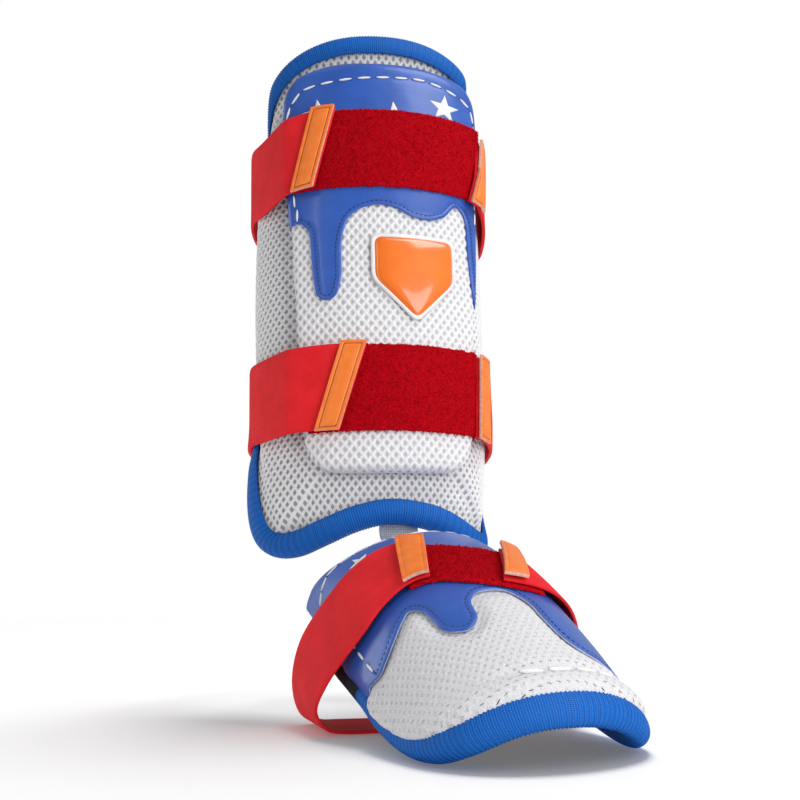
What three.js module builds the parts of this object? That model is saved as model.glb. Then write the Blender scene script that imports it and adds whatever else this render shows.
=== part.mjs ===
import * as THREE from 'three';

// A batter's leg guard as it is worn: a padded shin shell with two straps, and the instep guard below it.
// Millimetres, +Z up, toes towards -Y. The origin is on the inner face of the shin pad, at its middle.

// Driving dimensions

const clearance = 0.5; // between pieces that lie on each other
const slack = 1; // round an edge that a binding grips, and under webs that bend freely

const shin = {
  halfWidth: 74, // from the leg's axis to the side of the pad's outer face
  frontDepth: 59, // from the leg's axis to the front of it
  lean: 8.7, // degrees back from upright
  bow: 3, // how far the two ends curl back
  bowSpan: 150, // half length over which they do
  tuck: { by: 6.5, from: 40, to: 85 }, // right side drawn in, over these turns
  sway: { by: 7, from: 70, to: 150 }, // lower corners pushed to the left, over these depths
};

const foot = {
  topRadius: 57.5, // round the ankle end
  toeRadius: 60,
  topHeight: 101.5, // ridge above the ground at the ankle end
  toeHeight: 26,
  arch: 13, // ridge above the straight line between its ends
  reach: 156, // level distance from the ankle end to the toe end
  length: 174, // the same, along the ridge
  topTilt: 50, // degrees that the sections lean back, at the ankle end
  toeTilt: 4,
  place: { x: 15, y: -43.8, z: -245.6 }, // ground point under the ankle end, from the origin
  yaw: 14, // degrees, toes out
};

const shinPad = {
  thickness: 9.5,
  edgeThickness: 6, // pressed flat where the binding grips it
  edgeDrop: 1.75, // outer face of the pressed edge, below the field
  pressed: 16, // how far in from the binding's outer edge it is flat
  full: 23, // and where it is full thickness again
};
const shinBinding = { wall: 2.4, width: 14, crown: 1.9 };
const shinPlate = { height: 9, wall: 4, shoulder: 12, lowHalf: 37, highHalf: 49, low: -115, high: 140.5 };
const leather = 1.2;
const loopPanel = { thickness: 1.6, left: -0.88, right: 0.95 }; // ends as shares of the plate's half width
const elastic = {
  thickness: 2,
  width: 50,
  sideLift: 2, // off the pad's sides
  bridgeStart: 42, // degrees from the front where it leaves the panel, and where it meets the side
  bridgeEnd: 80,
  dropStart: 20, // and over which it slopes down to the back
  dropEnd: 75,
};
const tab = { thickness: 1.8, width: 9.2, footWidth: 12, overhang: 0.8 }; // widths in degrees
const badge = {
  thickness: 3, halfWidth: 26, top: 25, shoulder: -3, point: -29, corner: 5, // outline about its middle
  turn: 10.5, height: 1, // where its middle is
};

const footPad = { thickness: 6, cover: 2, inset: 1 };
const footBinding = { wall: 2.4, width: 9.5, crown: 2.4 };
const stirrup = {
  thickness: 2,
  width: 44,
  back: 35, // its rear edge along the foot, on the left
  rise: 35, // how much further forward it is on the right
  skewFrom: -35, // turns over which it gets there
  skewTo: 40,
  leaveLeft: -62, // where it leaves the foot guard
  leaveRight: 80,
  floor: 1.1, // its middle above the ground
};
const webbing = { thickness: 2, halfWidth: 13.5, shinTurn: 6, footTurn: 3, hold: 24, clear: 7, seat: 0.1 };

// Half outlines, from the middle to the right edge. The left half is the mirror image.

const shinPadRows = [
  { turn: 0, high: 166.5, low: -143 },
  { turn: 15, high: 166, low: -146.5 },
  { turn: 30, high: 163.5, low: -153 },
  { turn: 46, high: 158, low: -158.5 },
  { turn: 60, high: 149.5, low: -157.5 },
  { turn: 72, high: 136, low: -148 },
  { turn: 82, high: 117, low: -127 },
  { turn: 92, high: 91, low: -95 },
  { turn: 101, high: 56, low: -56 },
  { turn: 106, high: 15, low: -12 },
];

// On the plate, share is the part of its half width at that height.
const shinPlateRows = [
  { share: 0, high: 140.5, low: -115 },
  { share: 0.35, high: 140, low: -115 },
  { share: 0.7, high: 137.5, low: -113.5 },
  { share: 0.86, high: 133, low: -109.5 },
  { share: 0.96, high: 123.5, low: -101.5 },
  { share: 1, high: 108, low: -90 },
];

const footRows = [
  { turn: 0, high: 0, low: 174 },
  { turn: 20, high: 0, low: 172 },
  { turn: 40, high: 0, low: 167 },
  { turn: 55, high: 0, low: 160.5 },
  { turn: 70, high: 0, low: 150 },
  { turn: 82, high: 1, low: 135 },
  { turn: 91, high: 5, low: 114 },
  { turn: 95, high: 14, low: 92 },
];

// Lower edges of the two dripping leather overlays, from left to right.

const shinDripRows = [
  { share: -1, edge: 38 },
  { share: -0.93, edge: 36 },
  { share: -0.84, edge: 34.5 },
  { share: -0.785, edge: 39 },
  { share: -0.762, edge: 25 },
  { share: -0.75, edge: 2 },
  { share: -0.7, edge: -11 },
  { share: -0.61, edge: -14 },
  { share: -0.52, edge: -11.5 },
  { share: -0.463, edge: -2 },
  { share: -0.437, edge: 23 },
  { share: -0.335, edge: 38.5 },
  { share: -0.12, edge: 44.5 },
  { share: 0.06, edge: 43 },
  { share: 0.2, edge: 38.5 },
  { share: 0.38, edge: 37 },
  { share: 0.54, edge: 40.5 },
  { share: 0.68, edge: 49 },
  { share: 0.785, edge: 44 },
  { share: 0.85, edge: 17 },
  { share: 0.92, edge: -5 },
  { share: 1, edge: -14 },
];

const footDripRows = [
  { turn: -95, edge: 101 },
  { turn: -63, edge: 99 },
  { turn: -50, edge: 93 },
  { turn: -43, edge: 90.5 },
  { turn: -38.5, edge: 95 },
  { turn: -36.2, edge: 106 },
  { turn: -34.8, edge: 114 },
  { turn: -30.5, edge: 119 },
  { turn: -24.5, edge: 121.5 },
  { turn: -18.8, edge: 117 },
  { turn: -16.2, edge: 106 },
  { turn: -13, edge: 101.5 },
  { turn: -3, edge: 100.5 },
  { turn: 8, edge: 101.5 },
  { turn: 14, edge: 106 },
  { turn: 17, edge: 120 },
  { turn: 18.8, edge: 136 },
  { turn: 23, edge: 143 },
  { turn: 32, edge: 147 },
  { turn: 60, edge: 150 },
  { turn: 95, edge: 150 },
];

// Straps round the shin: middle height, how far the back hangs lower, and the slanted front ends in degrees.

const shinStraps = [
  { name: 'upper', middle: 81, drop: 15, onLeather: true,
    left: { high: -20, low: -29 }, right: { high: 46.5, low: 38 } },
  { name: 'lower', middle: -67, drop: 4, onLeather: false,
    left: { high: -9.5, low: -20 }, right: { high: 39.5, low: 33 } },
];
const stirrupEnds = { left: { back: -16, front: -26 }, right: { back: 18, front: 2 } };
const footPanelEnds = { left: { back: -24, front: -36 }, right: { back: 24, front: 24 } };

// The stirrup's free way from the left side, under the sole, to the right side: its rear and front edges.
const stirrupRoute = [
  { back: [-70, 16, 42], front: [-73.5, -35, 22] },
  { back: [-70, 9, 20], front: [-73.5, -35, 12] },
  { back: [-56, 9, stirrup.floor], front: [-56, -35, stirrup.floor] },
  { back: [0, -14, stirrup.floor], front: [0, -56, stirrup.floor] },
  { back: [46, -37, stirrup.floor], front: [46, -78, stirrup.floor] },
  { back: [60, -37, 9], front: [60, -78, 6] },
  { back: [64, -37, 24], front: [64, -78, 12] },
];

// How finely the surfaces are faceted.
const facets = {
  perRow: 2, // spans between two rows of an outline or a drip table
  padSide: 2, footSide: 5, plateSide: 6, // spans up the short side of each outline
  padRows: 4, padBias: 1.5, plateRows: 4, footRows: 5, overlayRows: 5, // rows between the edges
  strap: 34, strapRows: 2, tab: 3, panel: 8, stirrup: 46, onFoot: 8, link: 14, badgeSide: 4,
};

// Finishes

const finish = {
  mesh: { color: 0xf1f2f3, roughness: 0.85, metalness: 0 },
  leather: { color: 0x2c5cc5, roughness: 0.45, metalness: 0 },
  binding: { color: 0x1668cf, roughness: 0.7, metalness: 0 },
  loop: { color: 0xa80f1b, roughness: 0.95, metalness: 0 },
  elastic: { color: 0xc8131e, roughness: 0.75, metalness: 0 },
  rubber: { color: 0xf6831f, roughness: 0.5, metalness: 0 },
  badge: { color: 0xff7a12, roughness: 0.25, metalness: 0 },
  webbing: { color: 0xd5d8dc, roughness: 0.85, metalness: 0 },
  lining: { color: 0x161a2b, roughness: 0.9, metalness: 0 },
};

// The two bent surfaces. A turn is in degrees from the front, a place in millimetres along the leg or foot.

const degree = Math.PI / 180;
const { lerp, smoothstep, clamp } = THREE.MathUtils;
const seatDepth = shin.frontDepth - shinPad.thickness;

// Straps run on past the back, so their turns are brought to within half a circle of the front.
const fromFront = (turn) => (turn < -180 ? turn + 360 : turn);

function shinHalfWidth(turn, height) {
  const { halfWidth, tuck, sway } = shin;
  const side = fromFront(turn);
  const drawnIn = tuck.by * smoothstep(side, tuck.from, tuck.to);
  const onSide = smoothstep(Math.abs(side), tuck.from, tuck.to);
  const pushed = sway.by * onSide * smoothstep(-height, sway.from, sway.to);
  return halfWidth - drawnIn - Math.sign(side) * pushed;
}

function shinPoint(turn, height, lift) {
  const angle = turn * degree;
  const curl = shin.bow * (height / shin.bowSpan) ** 2;
  return new THREE.Vector3(
    (shinHalfWidth(turn, height) + lift) * Math.sin(angle),
    seatDepth - (shin.frontDepth + lift) * Math.cos(angle) + curl,
    height,
  );
}

function footPoint(turn, along, lift) {
  const share = along / foot.length;
  const angle = turn * degree;
  const radius = lerp(foot.topRadius, foot.toeRadius, share) + lift;
  const ridge = lerp(foot.topHeight, foot.toeHeight, share) + foot.arch * 4 * share * (1 - share) + lift;
  const tilt = lerp(foot.topTilt, foot.toeTilt, share) * degree;
  const fall = radius * (1 - Math.cos(angle));
  return new THREE.Vector3(
    radius * Math.sin(angle),
    fall * Math.sin(tilt) - share * foot.reach,
    ridge - fall * Math.cos(tilt),
  );
}

const shinSurface = {
  point: shinPoint,
  perDegree: (turn) => degree * Math.hypot(
    shin.halfWidth * Math.cos(turn * degree), shin.frontDepth * Math.sin(turn * degree)),
};

const footSurface = {
  point: footPoint,
  perDegree: () => degree * (foot.topRadius + foot.toeRadius) / 2,
};

// Solids from grids of points

function closedGeometry(points, triangles) {
  let volume = 0;
  for (const [a, b, c] of triangles) {
    volume += points[a].dot(new THREE.Vector3().crossVectors(points[b], points[c]));
  }
  const outward = volume > 0 ? triangles : triangles.map(([a, b, c]) => [a, c, b]);
  const geometry = new THREE.BufferGeometry().setFromPoints(points);
  geometry.setIndex(outward.flat());
  geometry.computeVertexNormals();
  return geometry;
}

// The wall between two grids of the same size, closed round their edges.
function wallBetween(outer, inner) {
  const columns = outer.length;
  const rows = outer[0].length;
  const points = [...outer.flat(), ...inner.flat()];
  const innerStart = columns * rows;
  const triangles = [];
  const quad = (a, b, c, d) => {
    const firstShorter = points[a].distanceTo(points[c]) <= points[b].distanceTo(points[d]);
    triangles.push(...(firstShorter ? [[a, b, c], [a, c, d]] : [[a, b, d], [b, c, d]]));
  };
  const at = (column, row) => column * rows + row;
  for (let column = 0; column < columns - 1; column += 1) {
    for (let row = 0; row < rows - 1; row += 1) {
      const corners = [at(column, row), at(column + 1, row), at(column + 1, row + 1), at(column, row + 1)];
      quad(...corners);
      quad(...corners.map((corner) => corner + innerStart).reverse());
    }
    for (const [row, ahead, behind] of [[0, 0, 1], [rows - 1, 1, 0]]) {
      const near = at(column + ahead, row);
      const far = at(column + behind, row);
      quad(near, near + innerStart, far + innerStart, far);
    }
  }
  for (let row = 0; row < rows - 1; row += 1) {
    for (const [column, ahead, behind] of [[0, 1, 0], [columns - 1, 0, 1]]) {
      const near = at(column, row + ahead);
      const far = at(column, row + behind);
      quad(near, near + innerStart, far + innerStart, far);
    }
  }
  return closedGeometry(points, triangles);
}

// A layer on a surface: a grid of places, and the lift of its inner and outer face at each of them.
function layer(surface, grid, innerLift, outerLift) {
  const face = (lift) => grid.map((column) => column.map((place) => (
    surface.point(place.x, place.y, lift(place.x, place.y)))));
  return wallBetween(face(outerLift), face(innerLift));
}

// A web of even thickness through strands that run side by side.
function web(strands, thickness) {
  const face = (side) => strands.map((strand, column) => strand.map((point, row) => {
    const across = strands[Math.min(column + 1, strands.length - 1)][row].clone()
      .sub(strands[Math.max(column - 1, 0)][row]);
    const forward = strand[Math.min(row + 1, strand.length - 1)].clone().sub(strand[Math.max(row - 1, 0)]);
    const normal = across.cross(forward).normalize();
    return point.clone().addScaledVector(normal, side * thickness / 2);
  }));
  return wallBetween(face(1), face(-1));
}

// Outlines

function fullRows(rows, column) {
  const left = rows.slice(1).reverse().map((row) => ({ ...row, [column]: -row[column] }));
  return [...left, ...rows];
}

// The two long edges of an outline, smoothed.
function outlineEdges(rows, column, toTurn) {
  const full = fullRows(rows, column);
  const knots = full.map((row) => new THREE.Vector3(row[column], row.high, row.low));
  const curve = new THREE.CatmullRomCurve3(knots, false, 'catmullrom', 0.5);
  const samples = curve.getPoints(facets.perRow * (full.length - 1));
  return {
    high: samples.map((sample) => new THREE.Vector2(toTurn(sample.x, sample.y), sample.y)),
    low: samples.map((sample) => new THREE.Vector2(toTurn(sample.x, sample.z), sample.z)),
  };
}

function between(start, end, count) {
  return Array.from({ length: count - 1 }, (_, index) => start.clone().lerp(end, (index + 1) / count));
}

// The closed rim of an outline: along the low edge, up the right side, back along the high edge.
function rimOf({ low, high }, sideSteps) {
  return [
    ...low,
    ...between(low.at(-1), high.at(-1), sideSteps),
    ...high.slice().reverse(),
    ...between(high[0], low[0], sideSteps),
    low[0],
  ];
}

function insetRim(surface, rim, distance) {
  const last = rim.length - 1;
  const closed = rim[0] === rim[last];
  return rim.map((place, index) => {
    const before = rim[index > 0 ? index - 1 : closed ? last - 1 : 0];
    const after = rim[index < last ? index + 1 : closed ? 1 : last];
    const scale = surface.perDegree(place.x);
    const run = new THREE.Vector2((after.x - before.x) * scale, after.y - before.y).normalize();
    const inward = rim.clockwise ? -distance : distance;
    return new THREE.Vector2(place.x - run.y * inward / scale, place.y + run.x * inward);
  });
}

function rimDistance(surface, rim, turn, along) {
  const scale = surface.perDegree(turn);
  let nearest = Infinity;
  rim.slice(0, -1).forEach((start, index) => {
    const end = rim[index + 1];
    const side = new THREE.Vector2((end.x - start.x) * scale, end.y - start.y);
    const offset = new THREE.Vector2((turn - start.x) * scale, along - start.y);
    const part = clamp(offset.dot(side) / Math.max(side.lengthSq(), 1e-9), 0, 1);
    nearest = Math.min(nearest, offset.addScaledVector(side, -part).length());
  });
  return nearest;
}

// Columns of places between two edges, with rows at the given depths from each edge and others between.
// A bias over 1 brings those nearer to the low edge.
function gridBetween(low, high, depths, middleRows, bias = 1) {
  return low.map((start, index) => {
    const end = high[index];
    const span = start.distanceTo(end);
    const first = depths.map((depth) => Math.min(depth / span, 0.3));
    const inner = first.at(-1);
    const middle = Array.from({ length: middleRows }, (_, row) => (
      lerp(inner, 1 - inner, ((row + 1) / (middleRows + 1)) ** bias)));
    const shares = [...first, ...middle, ...first.map((share) => 1 - share).reverse()];
    return shares.map((share) => start.clone().lerp(end, share));
  });
}

// A tape folded over an edge: its section runs out over the lip, round the edge and back along the slot.
function foldedTape(surface, rim, edge) {
  const { width, wall, crown, outerFace, innerFace } = edge;
  const middle = (outerFace + innerFace) / 2;
  const section = [
    { inset: width, lift: outerFace },
    { inset: width * 0.7, lift: outerFace + crown },
    { inset: width * 0.35, lift: outerFace + crown },
    { inset: width * 0.1, lift: lerp(outerFace, middle, 0.1) },
    { inset: 0, lift: middle },
    { inset: width * 0.1, lift: lerp(innerFace, middle, 0.1) },
    { inset: width * 0.5, lift: innerFace - crown },
    { inset: width, lift: innerFace },
    { inset: wall, lift: innerFace },
    { inset: wall, lift: outerFace },
  ];
  const lines = section.map(({ inset, lift }) => (
    insetRim(surface, rim, inset).map((place) => surface.point(place.x, place.y, lift))));
  const closed = rim[0] === rim.at(-1);
  const stations = rim.length;
  const points = lines.flat();
  const triangles = [];
  for (let line = 0; line < section.length; line += 1) {
    const next = (line + 1) % section.length;
    for (let span = 0; span < stations - 1; span += 1) {
      const ahead = closed && span === stations - 2 ? 0 : span + 1;
      const [a, b] = [line * stations + span, line * stations + ahead];
      const [c, d] = [next * stations + ahead, next * stations + span];
      triangles.push([a, b, c], [a, c, d]);
    }
  }
  if (!closed) {
    const flat = section.map(({ inset, lift }) => new THREE.Vector2(inset, lift));
    for (const [a, b, c] of THREE.ShapeUtils.triangulateShape(flat, [])) {
      const sameWay = THREE.ShapeUtils.area([flat[a], flat[b], flat[c]]) * THREE.ShapeUtils.area(flat) > 0;
      const start = (sameWay ? [a, b, c] : [a, c, b]).map((line) => line * stations);
      triangles.push(start, start.map((corner) => corner + stations - 1).reverse());
    }
  }
  return closedGeometry(points, triangles);
}

// The lower edge of a dripping overlay as a smooth line, with places brought to the same scale as the edge.
function dripLine(rows, column, scale) {
  const knots = rows.map((row) => new THREE.Vector3(row[column] * scale, row.edge, 0));
  return new THREE.CatmullRomCurve3(knots).getPoints(facets.perRow * (rows.length - 1))
    .map((sample) => new THREE.Vector2(sample.x / scale, sample.y));
}

// Height of a line at a place along it.
function heightOn(line, place) {
  const next = clamp(line.findIndex((point) => point.x >= place), 1, line.length - 1);
  const [start, end] = [line[next - 1], line[next]];
  return lerp(start.y, end.y, clamp((place - start.x) / (end.x - start.x), 0, 1));
}

// Columns for a dripping overlay: those of the surface below it, and those of the drips between them.
function dripColumns(line, ground) {
  const least = (ground.at(-1) - ground[0]) / 400;
  const clear = line.map((point) => point.x)
    .filter((place) => ground.every((other) => Math.abs(other - place) > least));
  const columns = [...ground, ...clear].sort((a, b) => a - b);
  return columns.filter((place, index) => index === 0 || place - columns[index - 1] > least / 2);
}

function piece(name, geometry, { color, roughness, metalness }) {
  const mesh = new THREE.Mesh(geometry, new THREE.MeshStandardMaterial({ color, roughness, metalness }));
  mesh.name = name;
  return mesh;
}

// Shin pad and its binding

const sameTurn = (turn) => turn;
const shinPadRim = rimOf(outlineEdges(shinPadRows, 'turn', sameTurn), facets.padSide);

function padPress(turn, height) {
  return smoothstep(rimDistance(shinSurface, shinPadRim, turn, height), shinPad.pressed, shinPad.full);
}

function padOuter(turn, height) {
  return lerp(-shinPad.edgeDrop, 0, padPress(turn, height));
}

function padInner(turn, height) {
  return lerp(-shinPad.edgeDrop - shinPad.edgeThickness, -shinPad.thickness, padPress(turn, height));
}

function shinPadSolid() {
  const columns = 2 * facets.perRow * (shinPadRows.length - 1) + 1;
  const edge = insetRim(shinSurface, shinPadRim, shinBinding.wall + slack);
  const low = edge.slice(0, columns);
  const highStart = columns + facets.padSide - 1;
  const high = edge.slice(highStart, highStart + columns).reverse();
  const depths = [0, shinPad.pressed - shinBinding.wall, shinPad.full - shinBinding.wall];
  const grid = gridBetween(low, high, depths, facets.padRows, facets.padBias);
  return layer(shinSurface, grid, padInner, padOuter);
}

function shinBindingSolid() {
  const edge = {
    ...shinBinding,
    outerFace: slack - shinPad.edgeDrop,
    innerFace: -shinPad.edgeDrop - shinPad.edgeThickness - slack,
  };
  return foldedTape(shinSurface, shinPadRim, edge);
}

// Raised plate, the leather over its top, and the badge

function plateHalf(height) {
  const share = (height - shinPlate.low) / (shinPlate.high - shinPlate.low);
  return lerp(shinPlate.lowHalf, shinPlate.highHalf, share);
}

const plateTurn = (share, height) => share * plateHalf(height);
const plateEdges = outlineEdges(shinPlateRows, 'share', plateTurn);
const plateRim = rimOf(plateEdges, facets.plateSide);
const plateShares = plateEdges.high.map((place) => place.x / plateHalf(place.y));
const plateDepths = [0, 2, 5.5, shinPlate.shoulder];

function plateLift(turn, height) {
  const share = clamp(rimDistance(shinSurface, plateRim, turn, height) / shinPlate.shoulder, 0, 1);
  return lerp(shinPlate.wall, shinPlate.height, Math.sqrt(1 - (1 - share) ** 2));
}

function shinPlateSolid() {
  const grid = gridBetween(plateEdges.low, plateEdges.high, plateDepths, facets.plateRows);
  return layer(shinSurface, grid, () => clearance, plateLift);
}

const plateTop = plateEdges.high.map((place, index) => new THREE.Vector2(plateShares[index], place.y));

function shinOverlaySolid() {
  const edge = dripLine(shinDripRows, 'share', plateHalf(0) * shinSurface.perDegree(0));
  const grid = dripColumns(edge, plateShares).map((share) => {
    const top = heightOn(plateTop, share);
    const field = [0, 0.45].map((row) => lerp(heightOn(edge, share), top - shinPlate.shoulder, row));
    const crest = plateDepths.map((depth) => top - depth).reverse();
    return [...field, ...crest].map((height) => new THREE.Vector2(plateTurn(share, height), height));
  });
  const underside = (turn, height) => plateLift(turn, height) + clearance;
  return layer(shinSurface, grid, underside, (turn, height) => underside(turn, height) + leather);
}

// A five-sided badge with rounded corners, point down, slightly domed.
function shinBadgeSolid() {
  const { halfWidth, shoulder, point, top, corner } = badge;
  const corners = [
    [-halfWidth, top], [halfWidth, top], [halfWidth, shoulder], [0, point], [-halfWidth, shoulder],
  ].map(([across, up]) => new THREE.Vector2(across, up));
  const outline = corners.flatMap((place, index) => {
    const before = corners[(index + corners.length - 1) % corners.length];
    const after = corners[(index + 1) % corners.length];
    const start = place.clone().add(before.clone().sub(place).setLength(corner));
    const end = place.clone().add(after.clone().sub(place).setLength(corner));
    const side = after.clone().sub(place).setLength(corner);
    const straight = between(end, after.clone().sub(side), facets.badgeSide);
    return [...new THREE.QuadraticBezierCurve(start, place, end).getPoints(3), ...straight];
  });
  const perDegree = degree * (shin.halfWidth + shinPlate.height);
  const onPlate = (place, lift) => {
    const turn = badge.turn + place.x / perDegree;
    const height = badge.height + place.y;
    return shinPoint(turn, height, shinPlate.height + clearance + lift);
  };
  const rings = [
    { size: 1, lift: 0 }, { size: 1, lift: 0.6 }, { size: 0.93, lift: 0.85 }, { size: 0.5, lift: 1 },
  ];
  const lines = rings.map(({ size, lift }) => (
    outline.map((place) => onPlate(place.clone().multiplyScalar(size), lift * badge.thickness))));
  const under = outline.map((place) => onPlate(place.clone().multiplyScalar(0.5), 0));
  const allLines = [under, ...lines];
  const count = outline.length;
  const middle = new THREE.Vector2(0, 0);
  const points = [...allLines.flat(), onPlate(middle, 0), onPlate(middle, badge.thickness)];
  const [bottom, crown] = [points.length - 2, points.length - 1];
  const triangles = [];
  for (let index = 0; index < count; index += 1) {
    const next = (index + 1) % count;
    for (let line = 0; line < allLines.length - 1; line += 1) {
      const [a, b] = [line * count + index, line * count + next];
      triangles.push([a, b, b + count], [a, b + count, a + count]);
    }
    const rimStart = (allLines.length - 1) * count;
    triangles.push([bottom, next, index], [crown, rimStart + index, rimStart + next]);
  }
  return closedGeometry(points, triangles);
}

// Loop panels, straps and tabs round the shin

function rectangleGrid(columns, rows, place) {
  return Array.from({ length: columns + 1 }, (_, column) => (
    Array.from({ length: rows + 1 }, (__, row) => place(column / columns, row / rows))));
}

function panelUnderside(strap) {
  const below = strap.onLeather ? clearance + leather : 0;
  return (turn, height) => plateLift(turn, height) + below + clearance;
}

function loopPanelSolid(strap) {
  const { left, right } = loopPanel;
  const inside = plateShares.filter((share) => share > left + 0.01 && share < right - 0.01);
  const heights = [-0.5, 0, 0.5].map((row) => strap.middle + elastic.width * row);
  const grid = [left, ...inside, right].map((share) => heights.map((height) => (
    new THREE.Vector2(plateTurn(share, height), height))));
  const underside = panelUnderside(strap);
  return layer(shinSurface, grid, underside, (turn, height) => underside(turn, height) + loopPanel.thickness);
}

// Lift of a strap's inner face: level on the panel, straight down to the pad's side, then round the calf.
function strapLift(strap) {
  const stack = strap.onLeather ? clearance + leather : 0;
  const front = shinPlate.height + stack + clearance + loopPanel.thickness + slack;
  return (turn) => {
    const { bridgeStart, bridgeEnd, sideLift } = elastic;
    const left = 1 - clamp((Math.abs(fromFront(turn)) - bridgeStart) / (bridgeEnd - bridgeStart), 0, 1);
    return lerp(sideLift, front, left ** 2);
  };
}

function strapHeight(strap, turn, up) {
  const { width, dropStart, dropEnd } = elastic;
  const slope = smoothstep(Math.abs(fromFront(turn)), dropStart, dropEnd);
  return strap.middle + width * (up - 0.5) - strap.drop * slope;
}

function strapSolid(strap) {
  const { left, right } = strap;
  const grid = rectangleGrid(facets.strap, facets.strapRows, (round, up) => {
    const turn = lerp(lerp(left.low, left.high, up), lerp(right.low, right.high, up) - 360, round);
    return new THREE.Vector2(turn, strapHeight(strap, turn, up));
  });
  const inner = strapLift(strap);
  return layer(shinSurface, grid, inner, (turn) => inner(turn) + elastic.thickness);
}

function tabSolid(strap, end, side) {
  const grid = rectangleGrid(facets.tab, facets.strapRows, (across, up) => {
    const turn = lerp(end.low, end.high, up) + side * tab.width * across;
    const taller = (up - 0.5) * 2 * tab.overhang;
    return new THREE.Vector2(turn, strapHeight(strap, turn, up) + taller);
  });
  const lift = strapLift(strap);
  const underside = (turn) => lift(turn) + elastic.thickness + slack;
  return layer(shinSurface, grid, underside, (turn) => underside(turn) + tab.thickness);
}

// Foot pad, its cover, leather and front binding

const footEdges = outlineEdges(footRows, 'turn', sameTurn);
const footRim = rimOf(footEdges, facets.footSide);
footRim.clockwise = true;

function footLayer(inset, innerLift, outerLift) {
  const columns = footEdges.low.length;
  const edge = insetRim(footSurface, footRim, inset);
  const front = insetRim(footSurface, footRim, footBinding.wall + slack).slice(0, columns);
  const highStart = columns + facets.footSide - 1;
  const back = edge.slice(highStart, highStart + columns).reverse();
  const grid = gridBetween(back, front, [0], facets.footRows);
  return layer(footSurface, grid, () => innerLift, () => outerLift);
}

const footLayers = {
  pad: { inner: -footPad.cover - clearance - footPad.thickness, outer: -footPad.cover - clearance },
  cover: { inner: -footPad.cover, outer: 0 },
  overlay: { inner: slack, outer: slack + leather },
};
footLayers.panel = {
  inner: footLayers.overlay.outer + slack,
  outer: footLayers.overlay.outer + slack + loopPanel.thickness,
};
footLayers.strap = { inner: footLayers.panel.outer + slack };
footLayers.strap.outer = footLayers.strap.inner + stirrup.thickness;

function footBindingSolid() {
  const edge = {
    ...footBinding,
    outerFace: footLayers.cover.outer + slack,
    innerFace: footLayers.pad.inner - slack,
  };
  const front = footEdges.low.slice();
  front.clockwise = true;
  return foldedTape(footSurface, front, edge);
}

// The leather stops short of the binding's lip on the sides.
function lipLimit(turn) {
  const keep = footBinding.width + 2 * slack;
  let along = heightOn(footEdges.high, turn);
  while (rimDistance(footSurface, footEdges.low, turn, along + 1) > keep) {
    along += 1;
  }
  return along;
}

function footOverlaySolid() {
  const edge = dripLine(footDripRows, 'turn', footSurface.perDegree());
  const ground = footEdges.low.map((place) => place.x);
  const grid = dripColumns(edge, ground).map((turn) => {
    const start = new THREE.Vector2(turn, heightOn(footEdges.high, turn));
    const end = new THREE.Vector2(turn, Math.min(heightOn(edge, turn), lipLimit(turn)));
    return [start, ...between(start, end, facets.overlayRows), end];
  });
  return layer(footSurface, grid, () => footLayers.overlay.inner, () => footLayers.overlay.outer);
}

// Stirrup strap: across the instep at a slant, out past the sides, and under the sole

function stirrupAlong(turn, across) {
  const skew = stirrup.rise * smoothstep(turn, stirrup.skewFrom, stirrup.skewTo);
  return stirrup.back + skew + stirrup.width * across;
}

function footLoopPanelSolid() {
  const { left, right } = footPanelEnds;
  const grid = rectangleGrid(facets.panel, facets.tab, (sideways, across) => {
    const turn = lerp(lerp(left.back, left.front, across), lerp(right.back, right.front, across), sideways);
    return new THREE.Vector2(turn, stirrupAlong(turn, across));
  });
  return layer(footSurface, grid, () => footLayers.panel.inner, () => footLayers.panel.outer);
}

function stirrupStrand(across) {
  const middle = (footLayers.strap.inner + footLayers.strap.outer) / 2;
  const endTurn = ({ back, front }) => lerp(back, front, across);
  const onFoot = (from, to) => Array.from({ length: facets.onFoot }, (_, index) => {
    const turn = lerp(from, to, index / (facets.onFoot - 1));
    return footPoint(turn, stirrupAlong(turn, across), middle);
  });
  const leftSide = onFoot(endTurn(stirrupEnds.left), stirrup.leaveLeft);
  const rightSide = onFoot(stirrup.leaveRight, endTurn(stirrupEnds.right));
  const free = stirrupRoute.map(({ back, front }) => (
    new THREE.Vector3(...back).lerp(new THREE.Vector3(...front), across)));
  const route = new THREE.CatmullRomCurve3([...leftSide, ...free, ...rightSide]);
  return route.getPoints(facets.stirrup).map((point) => point.setZ(Math.max(point.z, stirrup.floor)));
}

function footStrapSolid() {
  return web([0, 0.5, 1].map(stirrupStrand), stirrup.thickness);
}

function footTabSolid(end, side) {
  const grid = rectangleGrid(facets.tab, facets.tab, (across, down) => {
    const turn = lerp(end.back, end.front, down) + side * tab.footWidth * across;
    return new THREE.Vector2(turn, stirrupAlong(turn, down) + (down - 0.5) * 2 * tab.overhang);
  });
  const underside = footLayers.strap.outer + slack;
  return layer(footSurface, grid, () => underside, () => underside + tab.thickness);
}

// The assembly

const guard = new THREE.Group();

const shinHalf = new THREE.Group();
shinHalf.rotation.x = -shin.lean * degree;
shinHalf.add(
  piece('shin_pad', shinPadSolid(), finish.mesh),
  piece('shin_binding', shinBindingSolid(), finish.binding),
  piece('shin_plate', shinPlateSolid(), finish.mesh),
  piece('shin_overlay', shinOverlaySolid(), finish.leather),
  piece('shin_badge', shinBadgeSolid(), finish.badge),
);
for (const strap of shinStraps) {
  shinHalf.add(
    piece(`${strap.name}_loop_panel`, loopPanelSolid(strap), finish.loop),
    piece(`${strap.name}_strap`, strapSolid(strap), finish.elastic),
    piece(`${strap.name}_tab_left`, tabSolid(strap, strap.left, -1), finish.rubber),
    piece(`${strap.name}_tab_right`, tabSolid(strap, strap.right, 1), finish.rubber),
  );
}

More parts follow.
